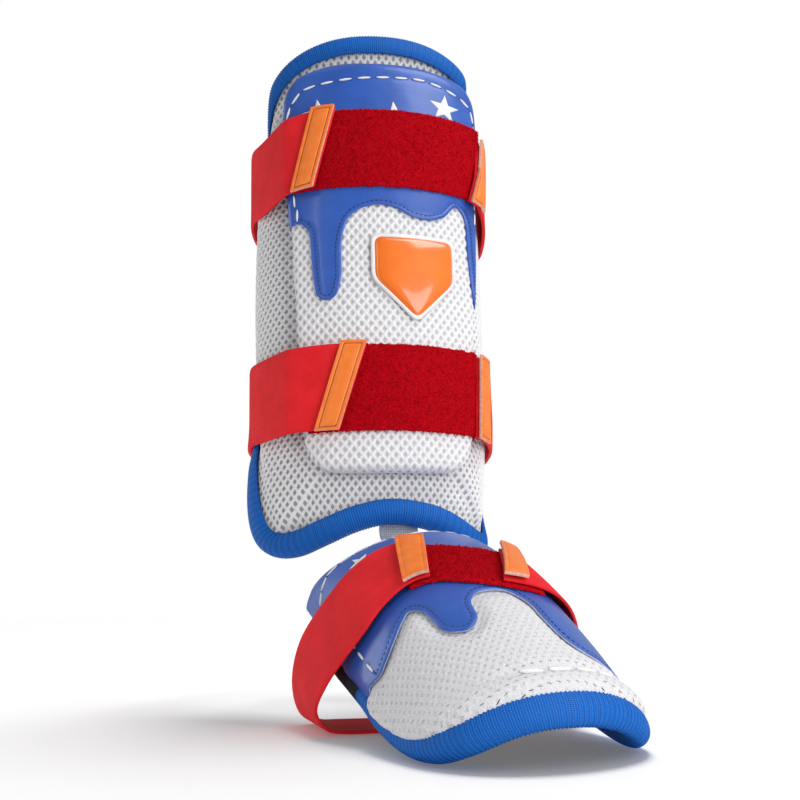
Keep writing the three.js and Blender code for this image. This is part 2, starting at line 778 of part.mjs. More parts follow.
const footHalf = new THREE.Group();
footHalf.position.set(foot.place.x, foot.place.y, foot.place.z);
footHalf.rotation.z = foot.yaw * degree;
footHalf.add(
  piece('foot_pad', footLayer(footPad.inset, footLayers.pad.inner, footLayers.pad.outer), finish.lining),
  piece('foot_cover', footLayer(0, footLayers.cover.inner, footLayers.cover.outer), finish.mesh),
  piece('foot_overlay', footOverlaySolid(), finish.leather),
  piece('foot_binding', footBindingSolid(), finish.binding),
  piece('foot_loop_panel', footLoopPanelSolid(), finish.loop),
  piece('foot_strap', footStrapSolid(), finish.elastic),
  piece('foot_tab_left', footTabSolid(stirrupEnds.left, -1), finish.rubber),
  piece('foot_tab_right', footTabSolid(stirrupEnds.right, 1), finish.rubber),
);

// Webbing sewn inside both halves, following each inner face where it is held.
function linkSolid() {
  shinHalf.updateMatrix();
  footHalf.updateMatrix();
  const half = webbing.thickness / 2;
  const shinLift = -shinPad.edgeDrop - shinPad.edgeThickness - slack - shinBinding.crown - webbing.seat - half;
  const footLift = footLayers.pad.inner - slack - half;
  const shinEnd = shinPadRows[0].low;
  const strands = [-1, -0.5, 0, 0.5, 1].map((side) => {
    const offset = side * webbing.halfWidth;
    const shinTurn = webbing.shinTurn + offset / shinSurface.perDegree(0);
    const footTurn = webbing.footTurn + offset / footSurface.perDegree(0);
    const onShin = [webbing.hold, webbing.hold / 2, -webbing.clear].map((up) => (
      shinPoint(shinTurn, shinEnd + up, shinLift).applyMatrix4(shinHalf.matrix)));
    const onFoot = [2, webbing.hold / 2, webbing.hold].map((down) => (
      footPoint(footTurn, down, footLift).applyMatrix4(footHalf.matrix)));
    return new THREE.CatmullRomCurve3([...onShin, ...onFoot]).getPoints(facets.link);
  });
  return web(strands, webbing.thickness);
}

guard.add(shinHalf, piece('link_webbing', linkSolid(), finish.webbing), footHalf);

export default guard;
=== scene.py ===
import math

import bmesh
import bpy
import numpy as np
from mathutils import Matrix, Vector


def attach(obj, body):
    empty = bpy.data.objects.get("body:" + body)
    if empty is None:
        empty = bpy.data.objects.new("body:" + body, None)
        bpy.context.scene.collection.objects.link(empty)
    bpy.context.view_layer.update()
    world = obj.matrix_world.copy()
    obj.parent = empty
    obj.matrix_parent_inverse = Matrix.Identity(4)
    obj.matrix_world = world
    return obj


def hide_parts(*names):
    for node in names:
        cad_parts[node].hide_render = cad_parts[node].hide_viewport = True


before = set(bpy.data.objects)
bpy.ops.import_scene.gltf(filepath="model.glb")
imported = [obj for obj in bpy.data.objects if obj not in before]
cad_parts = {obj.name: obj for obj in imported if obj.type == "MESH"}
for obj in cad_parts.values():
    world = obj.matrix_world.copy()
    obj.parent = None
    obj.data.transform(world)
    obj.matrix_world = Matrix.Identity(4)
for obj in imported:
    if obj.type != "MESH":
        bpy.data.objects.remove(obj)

mm = 0.001
degree = math.pi / 180
bodyName = "root"
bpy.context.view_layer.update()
chance = np.random.default_rng(7)
print("frame loaded")


# numbers along lines and between values

def mix(low, high, share):
    return low + (high - low) * share


def smoothStep(value, low, high):
    share = np.clip((value - low) / (high - low), 0, 1)
    return share * share * (3 - 2 * share)


def hump(value, middle, width):  # one in the middle, falling to nothing on both sides
    return np.exp(-((value - middle) / width) ** 2)


def curveThrough(knots, steps, span):
    knots = np.asarray(knots, float)
    full = np.vstack([2 * knots[0] - knots[1], knots, 2 * knots[-1] - knots[-2]])
    t = np.linspace(0, 1, steps, endpoint=False)[:, None]
    parts = [span(a, b, c, d, t) for a, b, c, d in zip(full, full[1:], full[2:], full[3:])]
    return np.vstack(parts + [knots[-1:]])


def smoothLine(knots, steps):  # even curve through all knots
    def span(a, b, c, d, t):
        square = 2 * a - 5 * b + 4 * c - d
        cube = 3 * b - a - 3 * c + d
        return 0.5 * (2 * b + (c - a) * t + square * t ** 2 + cube * t ** 3)
    return curveThrough(knots, steps, span)


def slackLine(knots, steps):  # the same, but free of overshoot where knots crowd
    shortest = 1e-4

    def span(a, b, c, d, t):
        pairs = ((a, b), (b, c), (c, d))
        ab, bc, cd = (max(math.sqrt(np.linalg.norm(q - p)), shortest) for p, q in pairs)
        start = ((b - a) / ab - (c - a) / (ab + bc) + (c - b) / bc) * bc
        end = ((c - b) / bc - (d - b) / (bc + cd) + (d - c) / cd) * bc
        square = 3 * (c - b) - 2 * start - end
        cube = 2 * (b - c) + start + end
        return b + start * t + square * t ** 2 + cube * t ** 3
    return curveThrough(knots, steps, span)


def runAlong(line):
    return np.concatenate([[0], np.cumsum(np.linalg.norm(np.diff(line, axis=0), axis=1))])


def spacedOut(line, count):  # the line again, as so many points at even distances
    far = runAlong(line)
    at = np.linspace(0, far[-1], count)
    return np.stack([np.interp(at, far, line[:, k]) for k in range(line.shape[1])], axis=1)


def evenly(line, spacing):
    return spacedOut(line, max(2, int(round(runAlong(line)[-1] / spacing)) + 1))


def mirrored(rows):
    return [(-row[0], *row[1:]) for row in rows[:0:-1]] + list(rows)


def withNormals(line, along):  # normals point to the left of the way along
    along = along / np.linalg.norm(along, axis=1)[:, None]
    return {"line": line, "inward": np.stack([-along[:, 1], along[:, 0]], axis=1)}


def edgeLine(line):
    return withNormals(line, np.gradient(line, axis=0))


def closedRim(line, spacing, passes):
    line = evenly(np.vstack([line, line[:1]]), spacing)[:-1]
    for _ in range(passes):
        line = (np.roll(line, 1, 0) + 2 * line + np.roll(line, -1, 0)) / 4
    return withNormals(line, np.roll(line, -1, 0) - np.roll(line, 1, 0))


def depthFrom(rim, places):  # how far inside the rim, and the nearest point of it
    line, atOnce, close = rim["line"], 3000, 2
    index = np.empty(len(places), int)
    for start in range(0, len(places), atOnce):
        part = places[start:start + atOnce]
        gap = (part[:, None, 0] - line[None, :, 0]) ** 2 + (part[:, None, 1] - line[None, :, 1]) ** 2
        index[start:start + atOnce] = gap.argmin(1)
    offset = places - line[index]
    inside = (offset * rim["inward"][index]).sum(1)
    far = np.linalg.norm(offset, axis=1)
    return np.where(far < close, inside, np.sign(inside) * far), index


# the two bent surfaces of the guard, in millimetres

shinForm = {
    "halfWidth": 74, "frontDepth": 59, "seatDepth": 49.5, "lean": 8.7, "bow": 3, "bowSpan": 150,
    "tuck": 6.5, "sway": 7, "sideTurns": (40, 85), "swayHeights": (70, 150),
}
footForm = {
    "topRadius": 57.5, "toeRadius": 60, "topHeight": 101.5, "toeHeight": 26, "arch": 13, "reach": 156,
    "length": 174, "topTilt": 50, "toeTilt": 4, "place": (15, -43.8, -245.6), "yaw": 14,
}


def fromFront(turn):
    return np.where(turn < -180, turn + 360, turn)


def shinPoint(turn, height, lift):
    form, side = shinForm, fromFront(turn)
    onSide = smoothStep(np.abs(side), *form["sideTurns"])
    pushed = form["sway"] * onSide * smoothStep(-height, *form["swayHeights"])
    half = form["halfWidth"] - form["tuck"] * smoothStep(side, *form["sideTurns"]) - np.sign(side) * pushed
    bowed = form["bow"] * (height / form["bowSpan"]) ** 2
    x = (half + lift) * np.sin(turn * degree)
    y = form["seatDepth"] - (form["frontDepth"] + lift) * np.cos(turn * degree) + bowed
    c, s = math.cos(form["lean"] * degree), math.sin(form["lean"] * degree)
    return np.stack([x, y * c + height * s, height * c - y * s], axis=-1)


def footLocal(turn, along, lift):
    form = footForm
    share = along / form["length"]
    radius = mix(form["topRadius"], form["toeRadius"], share) + lift
    ridge = mix(form["topHeight"], form["toeHeight"], share) + form["arch"] * 4 * share * (1 - share) + lift
    tilt = mix(form["topTilt"], form["toeTilt"], share) * degree
    fall = radius * (1 - np.cos(turn * degree))
    return np.stack([radius * np.sin(turn * degree), fall * np.sin(tilt) - share * form["reach"],
                     ridge - fall * np.cos(tilt)], axis=-1)


def footPlace(local):
    c, s = math.cos(footForm["yaw"] * degree), math.sin(footForm["yaw"] * degree)
    x, y, z = local[..., 0], local[..., 1], local[..., 2]
    return np.stack([x * c - y * s, x * s + y * c, z], axis=-1) + np.array(footForm["place"])


def footPoint(turn, along, lift):
    return footPlace(footLocal(turn, along, lift))


# run is the distance round a surface from its front, so patterns keep their size
turnSteps = np.linspace(-200, 200, 4001)
runSlopes = np.hypot(shinForm["halfWidth"] * np.cos(turnSteps[1:] * degree),
                     shinForm["frontDepth"] * np.sin(turnSteps[1:] * degree))
runSteps = np.concatenate([[0], np.cumsum(runSlopes * degree * (turnSteps[1] - turnSteps[0]))])
runSteps -= runSteps[len(runSteps) // 2]
footPerDegree = degree * (footForm["topRadius"] + footForm["toeRadius"]) / 2


def shinRun(turn):
    return np.interp(turn, turnSteps, runSteps)


def shinTurn(run):
    return np.interp(run, runSteps, turnSteps)


def byRun(places):  # from turn and height to run and height
    return [(float(shinRun(turn)), height) for turn, height in places]


# flat meshes, bent into place

def flatGrid(low, high, columns, rows):
    mesh = bmesh.new()
    bmesh.ops.create_grid(mesh, x_segments=columns, y_segments=rows, size=0.5)
    for vert in mesh.verts:
        vert.co = (mix(low[0], high[0], vert.co.x + 0.5), mix(low[1], high[1], vert.co.y + 0.5), 0)
    return mesh


def corners(mesh):
    return np.array([vert.co for vert in mesh.verts])


def countedGrid(columns, rows):  # a grid, with the column and row of each point
    mesh = flatGrid((0, 0), (columns, rows), columns, rows)
    return mesh, np.rint(corners(mesh)[:, :2]).astype(int)


def keepFlat(mesh):  # flat places, in metres, for patterns that follow the surface
    layer = mesh.loops.layers.uv.new("flat")
    for face in mesh.faces:
        for loop in face.loops:
            loop[layer].uv = loop.vert.co.xy * mm


def layFlat(mesh, across, up):
    for vert, x, y in zip(mesh.verts, across, up):
        vert.co = (x, y, 0)
    keepFlat(mesh)


def bend(mesh, places):
    for vert, place in zip(mesh.verts, places * mm):
        vert.co = place


def lower(mesh, made, depth):
    points = [part for part in made if isinstance(part, bmesh.types.BMVert)]
    bmesh.ops.translate(mesh, vec=(0, 0, -depth), verts=points)


def skirt(mesh, depth):  # turns the open edge down
    rim = [edge for edge in mesh.edges if edge.is_boundary]
    lower(mesh, bmesh.ops.extrude_edge_only(mesh, edges=rim)["geom"], depth)


def backed(mesh):  # a second layer below the first, joined to it round the edge
    lower(mesh, bmesh.ops.extrude_face_region(mesh, geom=list(mesh.faces), use_keep_orig=True)["geom"], 1)


def newPiece(name, mesh, materials, nodeName=None):
    data = bpy.data.meshes.new(name)
    mesh.to_mesh(data)
    mesh.free()
    data.polygons.foreach_set("use_smooth", [True] * len(data.polygons))
    for material in materials:
        data.materials.append(material)
    piece = bpy.data.objects.new(name, data)
    bpy.context.collection.objects.link(piece)
    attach(piece, bodyName)
    if nodeName:
        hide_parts(nodeName)
    return piece


def thicken(piece, thickness, offset=-1, edgeMaterial=0):
    wall = piece.modifiers.new("wall", "SOLIDIFY")
    wall.thickness, wall.offset = thickness * mm, offset
    wall.material_offset_rim = edgeMaterial
    return piece


def roundEdges(piece, width):
    edge = piece.modifiers.new("edge", "BEVEL")
    edge.width, edge.segments = width * mm, 2
    edge.limit_method, edge.angle_limit = "ANGLE", 50 * degree
    edge.harden_normals = False
    return piece


def newBand(name, mesh, material, nodeName, thick, offset=-1):  # a woven strap
    piece = newPiece(name, mesh, [material], nodeName)
    return roundEdges(thicken(piece, thick, offset), 0.5)


def declareSheet(piece, restsOn, withPieces=()):  # reads its flat map, made wider on the raised plate, and does nothing more with it
    spots = np.array([entry.uv for entry in piece.data.uv_layers["flat"].data])
    spots = spots * (widerOn.get(restsOn[0], 1), 1)


def hexCells(low, high, pitch, point):  # staggered six-sided cells, tips up and down
    columns = 2 * math.ceil((high[0] - low[0]) / pitch[0])
    rows = math.ceil(2 * (high[1] - low[1]) / pitch[1])
    cells, places = countedGrid(columns, rows)
    at = dict(zip(cells.verts, places))
    spare = []
    for edge in cells.edges:
        (i, j), (k, l) = at[edge.verts[0]], at[edge.verts[1]]
        if i == k and 0 < i < columns and (i + min(j, l)) % 2:
            spare.append(edge)
    for vert, (i, j) in at.items():
        tip = point if (i + j) % 2 == 0 else -point
        vert.co = (low[0] + i * pitch[0] / 2, low[1] + j * pitch[1] / 2 + tip, 0)
    bmesh.ops.dissolve_edges(cells, edges=spare, use_verts=False)
    return cells


def keepCells(cells, wanted):
    middles = np.array([face.calc_center_median()[:2] for face in cells.faces])
    spare = [face for face, keep in zip(list(cells.faces), wanted(middles)) if not keep]
    bmesh.ops.delete(cells, geom=spare, context="FACES")


# shares of a hole's depth taken by its rib and its rounding, and how its floor is drawn
holeStyle = {"ribShare": 0.12, "rollShare": 0.88, "narrow": 0.82, "tall": 1.16}


def sinkHoles(cells, style):  # rounded ribs round each hole, its floor in the second material
    holes = list(cells.faces)
    for step in ("rib", "roll"):
        bmesh.ops.inset_individual(cells, faces=holes, thickness=style[step], use_even_offset=True,
                                   depth=-holeStyle[f"{step}Share"] * style["depth"])
    for face in holes:
        face.material_index = 1
        middle = face.calc_center_median()
        for vert in face.verts:
            vert.co.x = mix(middle.x, vert.co.x, holeStyle["narrow"])
            vert.co.y = mix(middle.y, vert.co.y, holeStyle["tall"])


# finishes

def shaderInput(material, name):
    return material.node_tree.nodes["Principled BSDF"].inputs[name]


def newFinish(name, roughness, **sockets):
    material = bpy.data.materials.new(name)
    material.use_nodes = True
    shaderInput(material, "Roughness").default_value = roughness
    for socket, value in sockets.items():
        shaderInput(material, socket.replace("_", " ")).default_value = value
    return material


def node(material, kind, **settings):
    made = material.node_tree.nodes.new(kind)
    for name, value in settings.items():
        if name in made.inputs:
            made.inputs[name].default_value = value
        else:
            setattr(made, name, value)
    return made


def link(material, start, end):
    material.node_tree.links.new(start, end)


def setRange(made, prefix, low, high):
    made.inputs[f"{prefix} Min"].default_value = low
    made.inputs[f"{prefix} Max"].default_value = high


def coordinates(material, flat, scale=(1, 1, 1)):
    if flat:
        source = node(material, "ShaderNodeUVMap", uv_map="flat").outputs["UV"]
    else:
        source = node(material, "ShaderNodeTexCoord").outputs["Object"]
    mapping = node(material, "ShaderNodeMapping", Scale=scale)
    link(material, source, mapping.inputs["Vector"])
    return mapping.outputs["Vector"]


def noise(material, scale, detail=3, stretch=(1, 1, 1)):
    made = node(material, "ShaderNodeTexNoise", Scale=scale, Detail=detail)
    link(material, coordinates(material, False, stretch), made.inputs["Vector"])
    return made.outputs["Fac"]


def waves(material, pitch, direction, distortion=0.0):  # pitch in millimetres
    made = node(material, "ShaderNodeTexWave", wave_type="BANDS", bands_direction=direction,
                wave_profile="SIN", Scale=2 * math.pi / (20 * pitch * mm), Distortion=distortion)
    made.inputs["Detail Scale"].default_value = 3
    link(material, coordinates(material, True), made.inputs["Vector"])
    return made.outputs["Fac"]


def combine(material, operation, first, second):
    made = node(material, "ShaderNodeMath", operation=operation)
    link(material, first, made.inputs[0])
    if isinstance(second, (int, float)):
        made.inputs[1].default_value = second
    else:
        link(material, second, made.inputs[1])
    return made.outputs["Value"]


def ramp(material, factor, stops):
    made = node(material, "ShaderNodeValToRGB")
    band = made.color_ramp
    while len(band.elements) < len(stops):
        band.elements.new(0.5)
    for element, (position, colour) in zip(band.elements, stops):
        element.position, element.color = position, (*colour, 1)
    link(material, factor, made.inputs["Fac"])
    return made.outputs["Color"]


def colourBy(material, factor, stops):
    link(material, ramp(material, factor, stops), shaderInput(material, "Base Color"))


def roughBy(material, factor, low, high):
    made = node(material, "ShaderNodeMapRange")
    setRange(made, "To", low, high)
    link(material, factor, made.inputs["Value"])
    link(material, made.outputs["Result"], shaderInput(material, "Roughness"))


def bumpBy(material, factor, depth):  # depth in millimetres
    made = node(material, "ShaderNodeBump", Strength=1.0, Distance=depth * mm)
    normal = shaderInput(material, "Normal")
    link(material, factor, made.inputs["Height"])
    if normal.is_linked:
        link(material, normal.links[0].from_socket, made.inputs["Normal"])
    link(material, made.outputs["Normal"], normal)


# tone is a noise's scale and detail, grain also has its depth
def grainyFinish(name, roughness, tone, dark, pale, grain, **sockets):
    material = newFinish(name, roughness, **sockets)
    colourBy(material, noise(material, *tone), [(0.3, dark), (0.7, pale)])
    bumpBy(material, noise(material, *grain[:2]), grain[2])
    return material


def threadFinish(name, roughness, threads, stops, depth, **sockets):  # one noise gives colour and bump
    material = newFinish(name, roughness, **sockets)
    factor = noise(material, *threads)
    colourBy(material, factor, stops)
    bumpBy(material, factor, depth)
    return material


def weave(material, first, second):  # two sets of threads that cross
    return combine(material, "MULTIPLY", waves(material, *first), waves(material, *second))


def wovenFinish(name, roughness, first, second, stops, depth, **sockets):
    material = newFinish(name, roughness, **sockets)
    factor = weave(material, first, second)
    colourBy(material, factor, stops)
    bumpBy(material, factor, depth)
    return material


# white knitted mesh: fine loops in the ribs, soft sheen
meshWhite = threadFinish("meshWhite", 0.8, (1500, 4, (1, 1, 0.45)),
                         [(0.3, (0.76, 0.76, 0.78)), (0.62, (0.9, 0.9, 0.91))], 0.35,
                         Sheen_Weight=0.1, Sheen_Roughness=0.5)

# the layer seen through its holes, greyer on the pad than on the plate
floorTone, floorGrain = (1900, 3), (2400, 2, 0.3)
meshFloor = grainyFinish("meshFloor", 0.95, floorTone, (0.46, 0.445, 0.475), (0.66, 0.64, 0.675), floorGrain)
padFloor = grainyFinish("padFloor", 0.95, floorTone, (0.27, 0.26, 0.28), (0.45, 0.435, 0.465), floorGrain)

# pressed white knit of the instep cover: shallower, brighter floor
coverWhite = threadFinish("coverWhite", 0.85, (1500, 4, (1, 0.45, 1)),
                          [(0.3, (0.64, 0.635, 0.655)), (0.62, (0.79, 0.785, 0.805))], 0.35)
coverFloor = grainyFinish("coverFloor", 0.9, floorTone, (0.55, 0.545, 0.57), (0.7, 0.69, 0.72),
                          (2400, 2, 0.25))

# dark knitted lining
liningDark = wovenFinish("liningDark", 0.9, (1.1, "X"), (1.4, "Y"),
                         [(0.1, (0.006, 0.007, 0.014)), (0.8, (0.022, 0.026, 0.05))], 0.3,
                         Sheen_Weight=0.05, Sheen_Roughness=0.45)

# ribbed tape: ribs are modelled, threads are here, darker in their hollows as dirt and painted shade, paler
# on their crests
tapeShadeTones = [(0.0, (0.002, 0.08, 0.38)), (0.4, (0.005, 0.165, 0.66)), (1.0, (0.012, 0.27, 0.88))]
bindingBlue = wovenFinish("bindingBlue", 0.55, (0.65, "Y", 1.5), (1.3, "X"), tapeShadeTones, 0.22,
                          Specular_IOR_Level=0.25)

# smooth coated leather: pebble grain, faint uneven gloss
leatherBlue = newFinish("leatherBlue", 0.36, Coat_Weight=0.3, Coat_Roughness=0.16)
pebbles = node(leatherBlue, "ShaderNodeTexVoronoi", feature="DISTANCE_TO_EDGE", Scale=1150)
link(leatherBlue, coordinates(leatherBlue, False), pebbles.inputs["Vector"])
colourBy(leatherBlue, noise(leatherBlue, 60, 5), [(0.3, (0.017, 0.088, 0.42)), (0.7, (0.024, 0.112, 0.51))])
roughBy(leatherBlue, noise(leatherBlue, 240, 4), 0.3, 0.46)
bumpBy(leatherBlue, pebbles.outputs["Distance"], 0.09)
bumpBy(leatherBlue, noise(leatherBlue, 90, 3), 0.35)

# pale colour for the cut rim of the instep leather
cutEdge = grainyFinish("cutEdge", 0.7, (900, 3), (0.36, 0.42, 0.6), (0.62, 0.68, 0.84), (1800, 3, 0.15))

# sewing threads; the navy finish also paints the shade in the needle holes
twist = (2600, 2, (1, 1, 0.4))
threadWhite = threadFinish("threadWhite", 0.6, twist, [(0.3, (0.82, 0.82, 0.82)), (0.65, (0.96, 0.96, 0.96))],
                           0.2, Sheen_Weight=0.3)
navyThreadAndHoleShade = threadFinish("navyThreadAndHoleShade", 0.65, twist, [(0.3, (0.004, 0.012, 0.09)), (0.7, (0.01, 0.035, 0.2))],
                          0.2, Sheen_Weight=0.2)

# red elastic: lengthwise cords crossed by fine weft
elasticRed = newFinish("elasticRed", 0.78, Specular_IOR_Level=0.25)
elasticWeave = weave(elasticRed, (1.15, "Y"), (0.8, "X"))
elasticTone = combine(elasticRed, "MULTIPLY_ADD", elasticWeave, 0.45)
link(elasticRed, noise(elasticRed, 70, 4), elasticTone.node.inputs[2])
colourBy(elasticRed, elasticTone, [(0.35, (0.74, 0.010, 0.016)), (0.95, (0.95, 0.018, 0.027))])
bumpBy(elasticRed, elasticWeave, 0.16)

# brushed loop pile: matt and speckled
pileTones = [(0.3, (0.3, 0.001, 0.004)), (0.5, (0.48, 0.002, 0.008)), (0.72, (0.68, 0.005, 0.014))]
loopRed = threadFinish("loopRed", 0.95, (1500, 4), pileTones, 0.5, Specular_IOR_Level=0.05)

# moulded rubber tabs, their cut edge and their groove
rubberOrange = grainyFinish("rubberOrange", 0.42, (160, 4), (0.88, 0.19, 0.02), (0.98, 0.245, 0.032),
                            (1400, 3, 0.06))
roughBy(rubberOrange, noise(rubberOrange, 500, 3), 0.34, 0.52)
rubberEdge = grainyFinish("rubberEdge", 0.7, (700, 3), (0.72, 0.3, 0.2), (0.9, 0.58, 0.48), (1400, 3, 0.12))
rubberGroove = grainyFinish("rubberGroove", 0.6, (500, 3), (0.34, 0.05, 0.004), (0.5, 0.085, 0.008),
                            (1400, 3, 0.08))

# glossy badge
badgeOrange = grainyFinish("badgeOrange", 0.24, (45, 3), (0.9, 0.16, 0.006), (1.0, 0.215, 0.012),
                           (120, 2, 0.12), Coat_Weight=1.0, Coat_Roughness=0.06)
badgeWhite = grainyFinish("badgeWhite", 0.3, (90, 3), (0.78, 0.79, 0.8), (0.88, 0.88, 0.89), (600, 3, 0.05),
                          Coat_Weight=0.5, Coat_Roughness=0.1)

# grey webbing between the halves
webbingGrey = wovenFinish("webbingGrey", 0.8, (1.6, "X"), (1.2, "Y"),
                          [(0.05, (0.56, 0.58, 0.6)), (0.8, (0.86, 0.87, 0.88))], 0.4, Sheen_Weight=0.2)

# white film of the stars
filmWhite = grainyFinish("filmWhite", 0.4, (300, 4), (0.76, 0.77, 0.78), (0.9, 0.9, 0.9), (900, 3, 0.05),
                         Coat_Weight=0.15, Coat_Roughness=0.3)
print("finishes made")


# sewing

def surfaceFrame(surface, place, direction, side):  # point, forward, outward normal
    step = 0.4
    a, b = np.array(place, float), np.array(direction, float) / np.linalg.norm(direction)
    grid = np.array([a, a + step * b, a + step * np.array([-b[1], b[0]])])
    p, q, r = surface(grid[:, 0], grid[:, 1])
    forward = Vector(q - p).normalized()
    return Vector(p), forward, forward.cross(Vector(r - p)).normalized() * side


def sewRow(name, rows, surface, stitch, material, side=1):  # threads, with needle holes at their ends drawn as dark spots of painted shade
    mesh = bmesh.new()
    half, thin, dotSpacing = stitch["length"] / 2, stitch["radius"], 0.5
    for line in rows:
        dots = evenly(np.asarray(line, float), dotSpacing)
        far = runAlong(dots)
        count = max(1, int(far[-1] / stitch["pitch"]))
        for number in range(count):
            middle = (number + 0.5) * far[-1] / count
            place, ahead, behind = ([np.interp(at, far, dots[:, k]) for k in range(2)]
                                    for at in (middle, middle + 1, middle - 1))
            point, forward, normal = surfaceFrame(surface, place, np.subtract(ahead, behind), side)
            axes = Matrix((forward, normal.cross(forward), normal)).transposed().to_4x4()
            spot = Matrix.Translation((point + normal * stitch["raise"]) * mm) @ axes
            bmesh.ops.create_uvsphere(mesh, u_segments=8, v_segments=6, radius=1, matrix=spot
                                      @ Matrix.Diagonal((half * mm, thin * mm, thin * stitch["flat"] * mm, 1))
                                      @ Matrix.Rotation(math.pi / 2, 4, "Y"))
            # the needle holes are flat dark navy spots: painted shade where a hole would be
            if stitch["hole"]:
                threads = len(mesh.faces)
                for end in (-half, half):
                    bmesh.ops.create_uvsphere(mesh, u_segments=8, v_segments=4, radius=stitch["hole"] * mm,
                                              matrix=spot
                                              @ Matrix.Translation((end * mm, 0, -stitch["raise"] * mm))
                                              @ Matrix.Diagonal((1, 1, 0.35, 1)))
                mesh.faces.ensure_lookup_table()
                for face in mesh.faces[threads:]:
                    face.material_index = 1
    return newPiece(name, mesh, [material, navyThreadAndHoleShade])


# shin pad

padStyle = {
    "pitch": (4.9, 6.3), "point": 1.2, "rib": 0.52, "roll": 0.36, "depth": 0.8, "skirt": 1.6,
    "turn": 106, "low": -165, "high": 172, "fromRim": 5, "underPlate": 7, "pressedCells": 0.35,
    "pressed": 16, "full": 23, "drop": 1.75, "edge": 6, "thick": 9.5,
    "curl": 8, "curlWidth": 26, "curlFrom": 60, "curlTo": 85, "leftHeights": (-105, -60),
    "topCurl": 5, "topHeights": (50, 100), "rightCurl": 7, "rightHeights": (70, 120), "rightEarlier": 12,
    "trench": 3.4, "trenchAt": 4, "trenchWidth": 7, "trenchHeights": (-100, -80),
    "tongue": 3.4, "tongueWidth": 8, "tongueHeights": (96, 106),
    "swell": 1.8, "swellRuns": (62, 92), "swellDepths": (9, 20), "swellHeights": (-110, -70),
    "arch": 2.6, "archAt": 24, "archWidth": 15,
}
rimSpacing = 1.0
padOutline = [(0, 166.5, -143), (15, 166, -146.5), (30, 163.5, -153), (46, 158, -158.5), (60, 149.5, -157.5),
              (72, 136, -148), (82, 117, -127), (92, 91, -95), (101, 56, -56), (106, 15, -12)]
padEdges = smoothLine(mirrored(padOutline), 12)
# the arch is a little higher right of its middle
padEdges[:, 2] += padStyle["arch"] * hump(padEdges[:, 0], padStyle["archAt"], padStyle["archWidth"])
padRun = shinRun(padEdges[:, 0])
padLow, padHigh = (np.stack([padRun, padEdges[:, k]], 1) for k in (2, 1))
padRim = closedRim(np.vstack([padLow, padHigh[::-1]]), rimSpacing, 14)

plateStyle = {
    "height": 9.3, "wall": 5, "shoulder": 5, "footLift": 0.2, "fade": 3,
    "lowHalf": 37, "highHalf": 49, "low": -115, "high": 140.5,
    "pitch": (4.7, 6.7), "point": 1.3, "rib": 0.55, "roll": 0.38, "depth": 0.7, "skirt": 1.2,
    "cellsLow": -121, "cellsHigh": 147, "cellsPast": 6, "pastRim": 4,
}
widerOn = {"shin_plate": 1 + 2 * plateStyle["height"] / (shinForm["halfWidth"] + shinForm["frontDepth"])}
plateOutline = [(0, 140.5, -115), (0.35, 140, -115), (0.7, 137.5, -113.5), (0.86, 133, -109.5),
                (0.96, 123.5, -101.5), (1, 108, -90)]


def plateHalf(height):
    share = (height - plateStyle["low"]) / (plateStyle["high"] - plateStyle["low"])
    return mix(plateStyle["lowHalf"], plateStyle["highHalf"], share)


plateEdges = smoothLine(mirrored(plateOutline), 10)
plateLow, plateHigh = (np.stack([shinRun(plateEdges[:, 0] * plateHalf(height)), height], 1)
                       for height in (plateEdges[:, 2], plateEdges[:, 1]))
plateRim = closedRim(np.vstack([plateLow, plateHigh[::-1]]), rimSpacing, 6)

# from the plate's lower corner to the pad's: stuffed wings outside it, a flatter tongue inside
wingKnots = [(30, -98), (35, -106), (41, -117), (50, -131), (60, -144), (66, -156)]
wingLine = edgeLine(evenly(smoothLine(byRun(wingKnots), 8), rimSpacing))


def padOuter(places):
    style, run, height = padStyle, places[:, 0], places[:, 1]
    depth, _ = depthFrom(padRim, places)
    wing, _ = depthFrom(wingLine, np.stack([np.abs(run), height], 1))
    tongue = smoothStep(-wing, 0, style["tongueWidth"]) * smoothStep(-height, *style["tongueHeights"])
    full = smoothStep(depth, style["pressed"], style["full"])
    swell = style["swell"] * smoothStep(-run, *style["swellRuns"]) * smoothStep(depth, *style["swellDepths"])
    swell = swell * smoothStep(height, *style["swellHeights"])
    beside = -depthFrom(plateRim, places)[0]  # drawn in along the plate's sides
    trench = style["trench"] * hump(beside, style["trenchAt"], style["trenchWidth"])
    trench = trench * smoothStep(height, *style["trenchHeights"])
    return mix(-style["drop"], 0, full) - style["tongue"] * tongue + swell - trench


def padPoint(turn, height, lift):  # the long sides curl in towards the leg
    style = padStyle
    depth, _ = depthFrom(padRim, np.stack([shinRun(turn), height], 1))
    topRight = smoothStep(height, *style["rightHeights"]) * (turn > 0)
    earlier = style["rightEarlier"] * topRight
    onSide = smoothStep(np.abs(turn), style["curlFrom"] - earlier, style["curlTo"] - earlier)
    onSide = onSide * np.where(turn < 0, smoothStep(height, *style["leftHeights"]), 1)
    curl = style["curl"] + style["topCurl"] * smoothStep(height, *style["topHeights"])
    curl = curl + style["rightCurl"] * topRight
    return shinPoint(turn, height, lift - curl * onSide * (1 - smoothStep(depth, 0, style["curlWidth"])))


def onPad(run, height, lift):
    return padPoint(shinTurn(run), height, padOuter(np.stack([run, height], 1)) + lift)


def onPlate(run, height, lift):  # over the plate's rounded edge and down its wall
    style = plateStyle
    places = np.stack([run, height], 1)
    depth, index = depthFrom(plateRim, places)
    rise = np.clip(depth / style["shoulder"], 0, 1)
    top = mix(style["wall"], style["height"], np.sqrt(1 - (1 - rise) ** 2)) + lift
    foot = np.maximum(style["wall"] + depth, style["footLift"])
    foot = foot + lift * np.clip(1 + depth / style["fade"], 0, 1)
    out = depth < 0
    wallPlace = plateRim["line"][index] - plateRim["inward"][index] * (lift * np.ones(len(run)))[:, None]
    places = np.where(out[:, None], wallPlace, places)
    return shinPoint(shinTurn(places[:, 0]), places[:, 1], np.where(out, foot, top))


